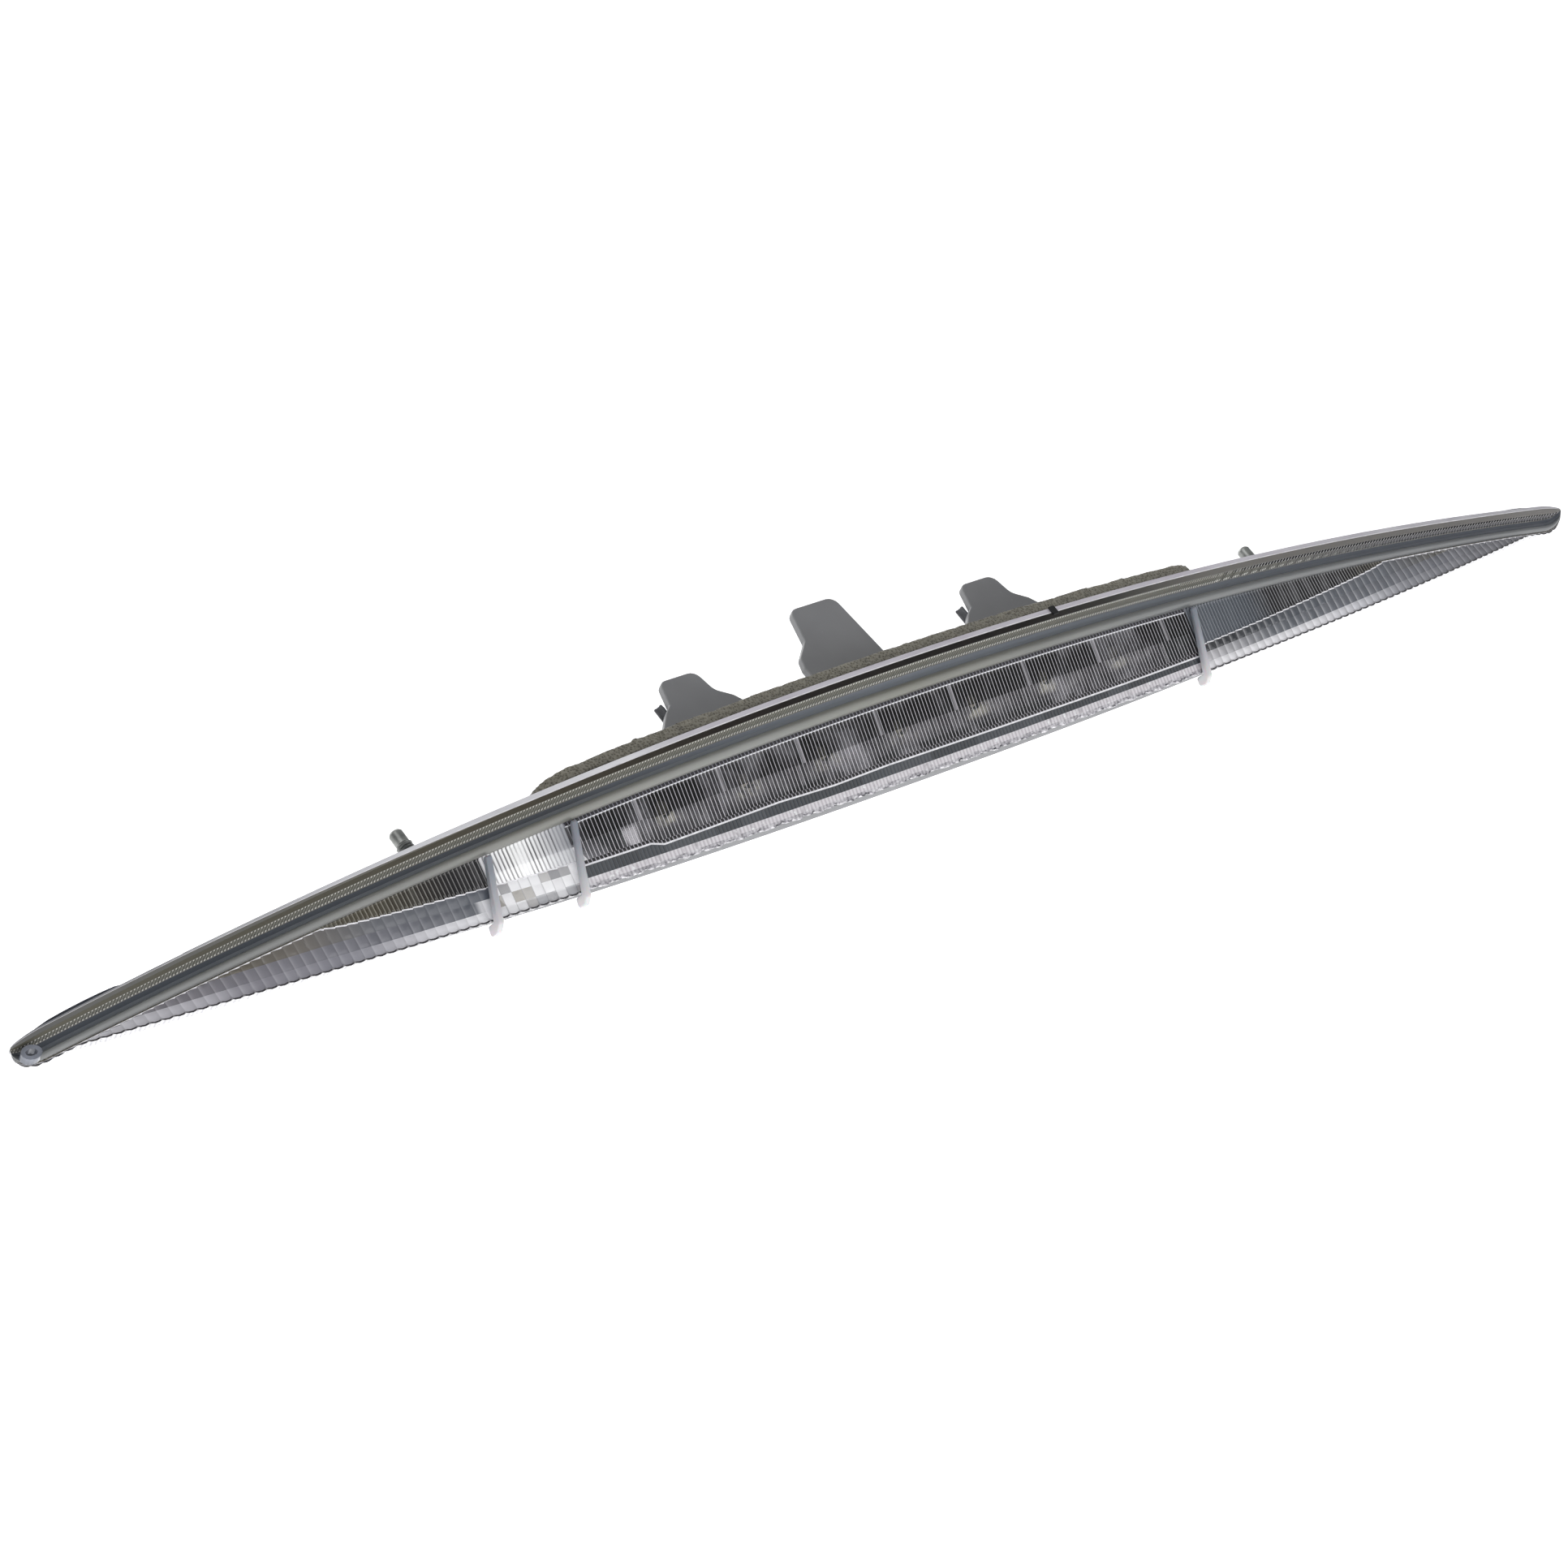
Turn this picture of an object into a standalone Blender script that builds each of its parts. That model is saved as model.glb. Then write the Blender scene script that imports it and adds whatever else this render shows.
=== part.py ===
"""Third brake light (high-level stop lamp): a long slim clear lens on a grey housing.

Everything is modelled in the lamp's own axes and hung on the empty "lamp_axis", which
tilts it to its installed attitude.  Lamp axes: X along the lamp, Y from the visible edge
of the flange into the car body, Z along the mounting studs.  Their zero is the top of the
flange's visible edge, at mid length.  The world origin is the sealing face of the gasket.
"""
import math

import bmesh
import bpy
from mathutils import Matrix, Vector

MM = 0.001
GAP = 0.3                      # clearance between touching pieces, mm

# ---- driving dimensions, mm -------------------------------------------------------------
HALF_LENGTH = 366.0            # mid length to either tip
EDGE_SWEEP = 31.5              # how far the flange edge sweeps forward at the tips
EDGE_DROOP = 11.5              # how far it droops there
INSTALL_TILT = 35.0            # studs lean forward from vertical, degrees
FLANGE_T = 2.1                 # lens flange thickness
FLANGE_W = 10.3                # lens flange overhang, edge to step
STEP_H = 2.7                   # step below the flange
BOTTOM_Y = 26.0                # lower edge of the lens
BOTTOM_Z = -33.7
BOTTOM_RISE = 13.2             # how far the lower edge rises towards the tips
LENS_WALL = 2.4
HOUSING_WALL = 2.0
HOUSING_INSET = 4.5            # housing plate sits this far in from the lens edge
FAR_EDGE_Y = 46.0              # front edge of the housing plate at mid length
TIP_BLEND = 12.0               # length of the rounded tips
HOUSING_HALF = 300.0           # the housing stops short of the lens's solid tips

CELL_PITCH = 36.0              # LED spacing
CELL_COUNT = 7
REFLECTOR_DEPTH = 9.5          # back of the reflector behind the lens wall
BOARD_DEPTH = 14.2
BOARD_SIZE = (248.0, 1.6, 15.0)
LED_D = 5.0
LED_H = 5.0
LED_ALONG = 9.6                # LED centres, down the face from its top
LED_HOLE_R = 3.4
CONNECTOR_X = 34.0
CONNECTOR_Y = 25.5
CONNECTOR_SIZE = (17.0, 12.0, 12.0)
CONNECTOR_WALL = 1.6

STUD_X = 202.5
STUD_INSET = 21.2
STUD_HEIGHT = 18.1             # tip above the flange edge level
STUD_D = 6.0                   # M6 x 1.0
STUD_TIP_D = 5.0
STUD_TIP_LEN = 5.5
STUD_HEAD_D = 11.0
COLLAR_R = 7.0
COLLAR_T = 2.0

GASKET_HALF = 159.0
GASKET_INSET = 5.0
GASKET_T = 5.2
GASKET_RUN = 10.0
TAB_X = 71.6
TAB_Y = 22.0
TAB_T = 3.4
FIN_X = (-187.5, -152.0, 143.0)  # at the top of the face
FIN_LEAN = -6.8                # and how much further along they are at its foot
FIN_T = 2.5
PLUG_X = 70.0
WINDOW = (-178.0, -135.0)      # opening in the back wall behind the left fins

COLLECTION = "third_brake_light"


# ---- scene helpers ----------------------------------------------------------------------
def clear_scene():
    for obj in list(bpy.data.objects):
        bpy.data.objects.remove(obj, do_unlink=True)


def new_collection(name):
    collection = bpy.data.collections.new(name)
    bpy.context.scene.collection.children.link(collection)
    return collection


def material(name, colour, roughness, metallic=0.0, transmission=0.0):
    mat = bpy.data.materials.new(name)
    mat.use_nodes = True
    shader = mat.node_tree.nodes["Principled BSDF"]
    shader.inputs["Base Color"].default_value = (*colour, 1.0)
    shader.inputs["Roughness"].default_value = roughness
    shader.inputs["Metallic"].default_value = metallic
    shader.inputs["Transmission Weight"].default_value = transmission
    mat.diffuse_color = (*colour, 1.0)
    return mat


def make_axis():
    """The empty that carries the lamp: installed tilt, origin on the gasket face."""
    axis = bpy.data.objects.new("lamp_axis", None)
    parts.objects.link(axis)
    turn = Matrix.Rotation(math.radians(-INSTALL_TILT), 4, "X")
    seat = Vector((0.0, GASKET_INSET + GASKET_RUN / 2, seat_height())) * MM
    axis.rotation_euler = turn.to_euler()
    axis.location = -(turn @ seat)
    return axis


def add_object(name, mesh, mat):
    obj = bpy.data.objects.new(name, mesh)
    parts.objects.link(obj)
    obj.parent = lamp_axis
    mesh.materials.append(mat)
    return obj


def mesh_from(bm, name):
    bmesh.ops.recalc_face_normals(bm, faces=bm.faces)
    if bm.calc_volume(signed=True) < 0:
        bmesh.ops.reverse_faces(bm, faces=bm.faces)
    mesh = bpy.data.meshes.new(name)
    bm.to_mesh(mesh)
    bm.free()
    return mesh


def loft_mesh(name, stations, section):
    """Close a skin over the loops section(x) gives at each station, with flat ends."""
    bm = bmesh.new()
    loops = []
    for x in stations:
        loops.append([bm.verts.new((x * MM, y * MM, z * MM)) for y, z in section(x)])
    count = len(loops[0])
    for near, far in zip(loops, loops[1:]):
        for i in range(count):
            j = (i + 1) % count
            bm.faces.new((near[i], near[j], far[j], far[i]))
    bm.faces.new(loops[0])
    bm.faces.new(loops[-1])
    bmesh.ops.triangulate(bm, faces=[f for f in bm.faces if len(f.verts) > 4])
    return mesh_from(bm, name)


def box_mesh(name, low, high, bevel=0.0):
    """A box between two corners, mm, with its upright edges rounded if bevel is given."""
    bm = bmesh.new()
    size = [b - a for a, b in zip(low, high)]
    centre = [(a + b) / 2 for a, b in zip(low, high)]
    move = Matrix.Translation(Vector(centre) * MM) @ Matrix.Diagonal((*[s * MM for s in size], 1.0))
    bmesh.ops.create_cube(bm, size=1.0, matrix=move)
    if bevel:
        upright = [e for e in bm.edges if abs(e.verts[0].co.z - e.verts[1].co.z) > 1e-6]
        bmesh.ops.bevel(bm, geom=upright, offset=bevel * MM, segments=3, affect="EDGES")
    return mesh_from(bm, name)


def outline_mesh(name, points, y_low, y_high):
    """Extrude an outline of (x, z) points between two Y planes, mm."""
    bm = bmesh.new()
    front = [bm.verts.new((x * MM, y_low * MM, z * MM)) for x, z in points]
    face = bm.faces.new(front)
    moved = bmesh.ops.extrude_face_region(bm, geom=[face])["geom"]
    verts = [v for v in moved if isinstance(v, bmesh.types.BMVert)]
    bmesh.ops.translate(bm, verts=verts, vec=(0, (y_high - y_low) * MM, 0))
    bmesh.ops.triangulate(bm, faces=[f for f in bm.faces if len(f.verts) > 4])
    return mesh_from(bm, name)


def rounded(points, radii, steps=4):
    """Round each corner of a closed outline by its own radius."""
    out = []
    count = len(points)
    for i, radius in enumerate(radii):
        here = Vector(points[i])
        if radius <= 0:
            out.append(tuple(here))
            continue
        before = (Vector(points[i - 1]) - here).normalized()
        after = (Vector(points[(i + 1) % count]) - here).normalized()
        half = before.angle(after) / 2
        reach = radius / math.tan(half)
        centre = here + (before + after).normalized() * radius / math.sin(half)
        start = here + before * reach - centre
        end = here + after * reach - centre
        for k in range(steps + 1):
            out.append(tuple(centre + start.slerp(end, k / steps).normalized() * radius))
    return out


def turned(name, profile, mat, location, tilt=0.0, sides=20, ring=False):
    """Turn a profile of (radius, height) points, top to bottom, round Z; a ring's is closed."""
    bm = bmesh.new()
    verts = [bm.verts.new((r * MM, 0, z * MM)) for r, z in profile]
    for a, b in zip(verts, verts[1:]):
        bm.edges.new((a, b))
    if ring:
        bm.edges.new((verts[-1], verts[0]))
    mesh = bpy.data.meshes.new(name)
    bm.to_mesh(mesh)
    bm.free()
    obj = add_object(name, mesh, mat)
    screw = obj.modifiers.new("turn", "SCREW")
    screw.axis = "Z"
    screw.steps = sides
    screw.render_steps = sides
    screw.use_merge_vertices = True
    screw.merge_threshold = 0.00001
    screw.use_smooth_shade = True
    obj.location = Vector(location) * MM
    obj.rotation_euler = (tilt, 0, 0)
    return obj


def cut(obj, tool_mesh, name, operation="DIFFERENCE"):
    tool = bpy.data.objects.new(name, tool_mesh)
    cutters.objects.link(tool)
    tool.parent = lamp_axis
    tool.hide_render = True
    tool.display_type = "WIRE"
    boolean = obj.modifiers.new(name, "BOOLEAN")
    boolean.operation = operation
    boolean.use_self = operation == "UNION"
    boolean.object = tool
    return tool


# ---- the lamp's running lines, mm -------------------------------------------------------
def share(x):
    return abs(x) / HALF_LENGTH


def edge(x):
    """Top of the flange's visible edge."""
    t = share(x)
    return EDGE_SWEEP * t**2, -EDGE_DROOP * (0.86 * t**2 + 0.14 * t**4)


def bead_foot(x):
    """Lower edge of the bead under the flange, where the lens face begins."""
    ye, ze = edge(x)
    k = slim(x)
    return ye + (FLANGE_W + 1.6) * k, ze - FLANGE_T - STEP_H - 3.8 * k


def bottom(x):
    """Lower edge of the lens, never less than 1 mm below the bead."""
    t = share(x)
    sweep = 13.9 * t**6
    rise = BOTTOM_RISE * t**2.5 + 0.56 * (sweep - 3.0 * t**8)
    return BOTTOM_Y + sweep, min(BOTTOM_Z + rise, bead_foot(x)[1] - 1.0)


def far_edge(x):
    """Front edge of the housing plate, in Y."""
    return FAR_EDGE_Y - 7.0 * share(x)**2


def slim(x):
    """Flange features narrow towards the tips."""
    return 1.0 - 0.4 * share(x)**2


def rounded_tip(x, points):
    """Shrink a section about the tip's axis inside the last TIP_BLEND of the length."""
    over = (abs(x) - (HALF_LENGTH - TIP_BLEND)) / TIP_BLEND
    if over <= 0:
        return points
    keep = math.sqrt(max(0.0, 1.0 - over**2)) * 0.94 + 0.06
    y0, z0 = EDGE_SWEEP + 1.0, -EDGE_DROOP - 2.0
    return [(y0 + (y - y0) * keep, z0 + (z - z0) * keep) for y, z in points]


def seat_height():
    return GAP + HOUSING_WALL + GAP + GASKET_T


def face_frame(x):
    """Top of the lens face, unit vector down the face, unit vector inward, face length."""
    top = Vector(bead_foot(x))
    low = Vector(bottom(x))
    down = (low - top).normalized()
    inward = Vector((-down.y, down.x))
    return top, down, inward, (low - top).length


def face_point(x, along, depth):
    """A point behind the lens face: along it from the top, and inward from its outside."""
    top, down, inward, _ = face_frame(x)
    return tuple(top + down * along + inward * depth)


def stations(low, high, step=12.0):
    """Even stations with one flat facet across x = 0, and fine ones in the tips."""
    half = step * 2 / 3
    limit = HALF_LENGTH - TIP_BLEND
    xs = {low, high}
    x = half
    while x < max(abs(low), abs(high)):
        xs.update((x, -x))
        x += step
    for k in range(1, 6):
        tip = limit + TIP_BLEND * math.sin(math.radians(18 * k))
        xs.update((tip, -tip))
    return sorted(v for v in xs if low <= v <= high)


# ---- lens and housing -------------------------------------------------------------------
def lens_section(x):
    ye, ze = edge(x)
    k = slim(x)
    w = FLANGE_W * k
    under = ze - FLANGE_T
    _, _, _, length = face_frame(x)
    points = [
        (ye, ze),
        (ye, under),
        (ye + w, under),
        (ye + w + 0.3, under - STEP_H),
        (ye + w - 0.9 * k, under - STEP_H - 1.2 * k),
        (ye + w - 0.7 * k, under - STEP_H - 2.7 * k),
        (ye + w + 0.6 * k, under - STEP_H - 3.6 * k),
        face_point(x, 0.0, 0.0),
        face_point(x, length * 0.62, 0.0),
        face_point(x, length, 0.0),
        face_point(x, length, LENS_WALL),
        face_point(x, min(1.0, 0.3 * length), LENS_WALL),
        (ye + w + 4.4 * k, under - 0.6),
        (ye + w + 4.4 * k, ze),
    ]
    return rounded_tip(x, points)


def seal_line(x):
    """How far down the face the sealant ends: it draws back from the edge in the wings."""
    return face_frame(x)[3] - 0.6 - 3.5 * share(x)**2


def housing_section(x):
    ye, ze = edge(x)
    zb = bottom(x)[1]
    far = far_edge(x)
    low = ze + GAP
    top = low + HOUSING_WALL
    length = seal_line(x)
    foot = face_point(x, length + 0.2, LENS_WALL + GAP + 1.6)
    instep = face_point(x, length - 2.2, LENS_WALL + GAP + 1.9)
    heel = (far - 5.0, min(zb + 6.8, ze - 4.5))
    points = [
        (ye + HOUSING_INSET, low),
        (far - HOUSING_WALL, low),
        (heel[0] - HOUSING_WALL, heel[1] + HOUSING_WALL * 0.6),
        instep,
        foot,
        heel,
        (far, low + 0.4),
        (far - 1.6, top),
        (ye + HOUSING_INSET, top),
    ]
    return rounded_tip(x, points)


def end_wall_section(x):
    """Fills the housing's section behind the lens."""
    ye, ze = edge(x)
    depth = LENS_WALL + GAP + 1.6
    plate, heel, foot = housing_section(x)[1:4]
    return [(ye + (FLANGE_W + 4.4) * slim(x) + 1.0, ze + 1.0), (plate[0] + 1.0, ze + 1.0),
            (heel[0] + 1.0, heel[1]), (foot[0] + 0.3, foot[1] - 0.2),
            face_point(x, seal_line(x) - 3.0, depth), face_point(x, 1.0, depth)]


def make_lens():
    return add_object("outer_lens", loft_mesh("outer_lens", stations(-HALF_LENGTH, HALF_LENGTH),
                                              lens_section), clear_plastic)


def make_housing():
    reach = HOUSING_HALF
    shell = loft_mesh("housing", stations(-reach, reach), housing_section)
    housing = add_object("housing", shell, grey_plastic)
    for name, low in (("end_wall_left", 0.5 - reach), ("end_wall_right", reach - 0.5 - HOUSING_WALL)):
        cut(housing, loft_mesh(name, (low, low + HOUSING_WALL), end_wall_section), name, "UNION")
    tool = box_mesh("window_cutter", (WINDOW[0], 30.0, -25.0), (WINDOW[1], 60.0, -4.5))
    cut(housing, tool, "window_cutter")
    for side in (-1, 1):
        name = "stud_hole_left" if side < 0 else "stud_hole_right"
        x, y, z = stud_base(side)
        bm = bmesh.new()
        bmesh.ops.create_cone(bm, cap_ends=True, segments=20, radius1=3.3 * MM, radius2=3.3 * MM,
                              depth=12 * MM, matrix=Matrix.Translation(Vector((x, y, z)) * MM))
        cut(housing, mesh_from(bm, name), name)
    wire_way = box_mesh("wire_way", (CONNECTOR_X - 4, CONNECTOR_Y - 3, -3),
                        (CONNECTOR_X + 4, CONNECTOR_Y + 3, 6))
    cut(housing, wire_way, "wire_way")
    return housing


def make_lower_seal():
    """Bead of sealant between the foot of the lens and the foot of the housing."""
    def section(x):
        low, high = seal_line(x), seal_line(x) - 1.8
        near, far = LENS_WALL + GAP + 0.15, LENS_WALL + 1.6
        return [face_point(x, low, near), face_point(x, low, far),
                face_point(x, high, far), face_point(x, high, near)]
    bead = loft_mesh("lens_seal", stations(-HOUSING_HALF, HOUSING_HALF), section)
    return add_object("lens_seal", bead, sealant)


# ---- optics and electronics -------------------------------------------------------------
def cell_edges():
    half = CELL_COUNT * CELL_PITCH / 2
    return [-half + CELL_PITCH * i for i in range(CELL_COUNT + 1)]


def led_places():
    return [CELL_PITCH * (i - (CELL_COUNT - 1) / 2) for i in range(CELL_COUNT)]


def make_reflector():
    """Row of reflector cells: a dished back with a thin wall between neighbours."""
    wall, back, dish = 0.7, 1.1, 3.5
    low, high = 1.6, 17.6
    front_at = {}
    for x in cell_edges():
        front_at[x - wall] = front_at[x + wall] = LENS_WALL + 1.8
    for x in led_places():
        reach = CELL_PITCH / 2 - wall - 0.02
        for part in (-1.0, -0.66, -0.33, 0.0, 0.33, 0.66, 1.0):
            front_at[x + part * reach] = REFLECTOR_DEPTH - back + LENS_WALL - dish * part**2 * 0.8

    def section(x):
        front = front_at[x]
        rear = REFLECTOR_DEPTH + LENS_WALL
        return [face_point(x, low, front), face_point(x, high, front),
                face_point(x, high, rear), face_point(x, low, rear)]

    mesh = loft_mesh("reflector", sorted(front_at), section)
    reflector = add_object("reflector", mesh, chrome)
    bm = bmesh.new()
    for x in led_places():
        y, z = face_point(0, LED_ALONG, LENS_WALL + REFLECTOR_DEPTH)
        place = Matrix.Translation(Vector((x, y, z)) * MM) @ face_turn()
        bmesh.ops.create_cone(bm, cap_ends=True, segments=16, radius1=LED_HOLE_R * MM,
                              radius2=LED_HOLE_R * MM, depth=12 * MM, matrix=place)
    cut(reflector, mesh_from(bm, "led_holes"), "led_holes")
    return reflector


def face_angle():
    """Angle, about X, that turns +Z onto the outward normal of the mid-length face."""
    _, _, inward, _ = face_frame(0)
    return math.atan2(inward.x, -inward.y)


def face_turn():
    return Matrix.Rotation(face_angle(), 4, "X")


def tilt_to_face(obj, along, depth, x=0.0):
    y, z = face_point(0, along, depth)
    obj.location = Vector((x, y, z)) * MM
    obj.rotation_euler = (face_angle() - math.pi / 2, 0, 0)
    return obj


def board_piece(name, x, up, size, mat, side=1):
    """A box on the circuit board: up along the board, side +1 behind it or -1 before it."""
    sx, sy, sz = size
    start = BOARD_SIZE[1] + GAP if side > 0 else -GAP - sy
    mesh = box_mesh(name, (x - sx / 2, start, up - sz / 2), (x + sx / 2, start + sy, up + sz / 2))
    return tilt_to_face(add_object(name, mesh, mat), LED_ALONG, LENS_WALL + BOARD_DEPTH)


def make_board():
    lx, ly, lz = BOARD_SIZE
    mesh = box_mesh("led_board", (-lx / 2, 0, -lz / 2), (lx / 2, ly, lz / 2))
    tilt_to_face(add_object("led_board", mesh, board_green), LED_ALONG, LENS_WALL + BOARD_DEPTH)
    board_piece("driver_chip", 20.0, 0.5, (7.0, 1.6, 5.0), black_plastic)
    board_piece("resistor_left", -20.0, 0.0, (6.4, 1.0, 3.2), black_plastic)
    board_piece("resistor_right", -34.0, 0.0, (6.4, 1.0, 3.2), black_plastic)


def make_leds():
    radius = LED_D / 2
    for i, x in enumerate(led_places()):
        profile = [(radius * math.sin(a), LED_H - radius + radius * math.cos(a))
                   for a in [math.radians(18 * k) for k in range(6)]]
        profile += [(radius, 0.9), (radius + 0.4, 0.9), (radius + 0.4, 0.0), (0.0, 0.0)]
        y, z = face_point(0, LED_ALONG, LENS_WALL + BOARD_DEPTH - GAP)
        turned(f"led_{i + 1}", profile, led_resin, (x, y, z), face_angle(), sides=14)


def make_board_screws():
    """Two pan-head screws beside the end LEDs hold the board to the housing."""
    for name, x in (("board_screw_left", -116.0), ("board_screw_right", 116.0)):
        profile = [(0.0, 1.5), (1.6, 1.4), (2.4, 0.8), (2.5, 0.0), (0.0, 0.0)]
        y, z = face_point(0, LED_ALONG + 3.5, LENS_WALL + BOARD_DEPTH - GAP)
        turned(name, profile, zinc, (x, y, z), face_angle(), sides=12)


def make_connector():
    """Shrouded socket on the housing plate, with two blade terminals inside."""
    sx, sy, sz = CONNECTOR_SIZE
    base = 2 * GAP + HOUSING_WALL
    low = (CONNECTOR_X - sx / 2, CONNECTOR_Y - sy / 2, base)
    high = (CONNECTOR_X + sx / 2, CONNECTOR_Y + sy / 2, base + sz)
    block = box_mesh("connector_socket", low, high, bevel=1.5)
    socket = add_object("connector_socket", block, black_plastic)
    wall = CONNECTOR_WALL
    tool = box_mesh("socket_cutter", (low[0] + wall, low[1] + wall, base + 2.0),
                    (high[0] - wall, high[1] - wall, base + sz + 2.0))
    cut(socket, tool, "socket_cutter")
    for name, dx in (("terminal_left", -3.2), ("terminal_right", 3.2)):
        x = CONNECTOR_X + dx
        add_object(name, box_mesh(name, (x - 1.1, CONNECTOR_Y - 0.4, base + 2.0 + GAP),
                                  (x + 1.1, CONNECTOR_Y + 0.4, base + 9.5)), brass)


def make_baffles():
    """Dark trims behind the upper part of the lens in each wing."""
    for name, low, high in (("wing_trim_left", -296.0, -190.0), ("wing_trim_right", 158.0, 296.0)):
        def section(x):
            length = face_frame(x)[3]
            rows = (1.5, min(length * 0.55, seal_line(x) - 1.8 - 2 * GAP))
            near, far = LENS_WALL + 0.9, LENS_WALL + 2.1
            return [face_point(x, rows[0], near), face_point(x, rows[1], near),
                    face_point(x, rows[1], far), face_point(x, rows[0], far)]
        add_object(name, loft_mesh(name, stations(low, high), section), black_plastic)


# ---- fixings on the flange --------------------------------------------------------------
def stud_base(side):
    x = side * STUD_X
    ye, ze = edge(x)
    return x, ye + STUD_INSET, ze + GAP + HOUSING_WALL


def make_studs():
    for side, name in ((-1, "left"), (1, "right")):
        x, y, z = stud_base(side)
        tip = STUD_HEIGHT - GAP - HOUSING_WALL
        r, rt, rh = STUD_D / 2, STUD_TIP_D / 2, STUD_HEAD_D / 2
        head_top = -HOUSING_WALL - GAP
        profile = [(0.0, tip), (rt - 0.9, tip), (rt, tip - 0.9), (rt, tip - STUD_TIP_LEN),
                   (r, tip - STUD_TIP_LEN - 0.8), (r, head_top), (rh, head_top),
                   (rh, head_top - 2.4), (0.0, head_top - 2.4)]
        turned(f"stud_{name}", profile, zinc, (x, y, z))
        bore, rim, top = r + 0.4, COLLAR_R, COLLAR_T + GAP
        collar = [(bore, top), (rim - 0.6, top), (rim, top - 0.6), (rim, GAP), (bore, GAP)]
        turned(f"stud_collar_{name}", collar, frosted, (x, y, z), ring=True)


def make_gasket():
    """Ring of cellular foam round the housing's opening side."""
    base = GAP + HOUSING_WALL + GAP

    def pad(half, inset, z_low, z_high):
        def section(x):
            ye, ze = edge(x)
            over = max(0.0, (abs(x) - (half - 15.0)) / 15.0)
            near = ye + GASKET_INSET + inset
            far = FAR_EDGE_Y - 4.5 - inset
            middle, reach = (near + far) / 2, (far - near) / 2
            reach *= math.sqrt(max(0.0, 1.0 - over**2)) * 0.8 + 0.2
            return [(middle - reach, ze + z_low), (middle + reach, ze + z_low),
                    (middle + reach, ze + z_high), (middle - reach, ze + z_high)]
        xs = [v for v in stations(-half, half) if abs(v) <= half - 15.0]
        for k in range(0, 6):
            tip = half - 15.0 + 15.0 * math.sin(math.radians(18 * k))
            xs += [tip, -tip]
        return sorted(set(xs)), section

    strip = loft_mesh("foam_gasket", *pad(GASKET_HALF, 0.0, base, base + GASKET_T))
    gasket = add_object("foam_gasket", strip, foam)
    hole = loft_mesh("gasket_hole", *pad(GASKET_HALF - GASKET_RUN, GASKET_RUN,
                                         base - 4, base + GASKET_T + 4))
    cut(gasket, hole, "gasket_hole")
    return gasket


def side_tab_outline():
    corners = [(-20, 0), (-21, 11), (-14, 18.5), (-10.6, 21), (-7.9, 31), (7.9, 31), (10, 21.5),
               (15.5, 17.2), (18, 13.5), (18.5, 0)]
    radii = [0, 2.5, 2.0, 1.0, 3.0, 4.0, 5.0, 2.2, 2.0, 0]
    return rounded(corners, radii)


def centre_tab_outline():
    corners = [(-21, 0), (-22, 18), (-20.5, 22.5), (-13.8, 28.5), (-10.3, 42.4), (10.3, 42.4), (14.6, 0)]
    radii = [0, 2.0, 3.0, 2.0, 3.4, 4.0, 0]
    return rounded(corners, radii)


def make_tabs():
    """Three grey guide tabs that stand on the housing plate, each with a back rib."""
    base = 2 * GAP + HOUSING_WALL
    for name, x, outline in (("tab_left", -TAB_X, side_tab_outline()),
                             ("tab_centre", 0.0, centre_tab_outline()),
                             ("tab_right", TAB_X, side_tab_outline())):
        drop = edge(x)[1]
        tab = add_object(name, outline_mesh(name, outline, TAB_Y, TAB_Y + TAB_T), grey_plastic)
        tab.location = Vector((x, 0, base + drop)) * MM
        top = max(z for _, z in outline) - 6.0
        rib = box_mesh(name + "_rib", (x - 1.2, TAB_Y + TAB_T - 0.5, base + drop),
                       (x + 1.2, TAB_Y + TAB_T + 4.0, base + drop + top))
        cut(tab, rib, name + "_rib", "UNION")
    for name, x in (("stop_left", -TAB_X), ("stop_right", TAB_X)):
        drop = edge(x)[1]
        pad = box_mesh(name, (x - 12.8, TAB_Y + TAB_T + GAP, base + drop),
                       (x - 8.4, TAB_Y + TAB_T + 4.6, base + drop + 24.6), bevel=1.6)
        add_object(name, pad, rubber)


def make_fins():
    """Frosted fins that cross the lens face and reach past its lower edge."""
    for name, x in zip(("fin_left_outer", "fin_left_inner", "fin_right"), FIN_X):
        length = face_frame(x + FIN_LEAN)[3]
        corners = [(0.5, -GAP), (0.5, -2.4), (length * 0.6, -2.8), (length + 2.0, -3.6),
                   (length + 4.5, -1.5), (length + 4.5, 2.6), (length + 0.6, 3.4), (length + GAP, -GAP)]
        points = rounded(corners, [0, 1.0, 0, 1.4, 1.8, 1.8, 0, 0], steps=3)
        bm = bmesh.new()
        loop = []
        for along, depth in points:
            side = x + FIN_LEAN * along / length
            y, z = face_point(side, along, depth)
            loop.append(bm.verts.new(((side - FIN_T / 2) * MM, y * MM, z * MM)))
        face = bm.faces.new(loop)
        moved = bmesh.ops.extrude_face_region(bm, geom=[face])["geom"]
        bmesh.ops.translate(bm, verts=[v for v in moved if isinstance(v, bmesh.types.BMVert)],
                            vec=(FIN_T * MM, 0, 0))
        bmesh.ops.triangulate(bm, faces=[f for f in bm.faces if len(f.verts) > 4])
        add_object(name, mesh_from(bm, name), frosted)


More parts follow.
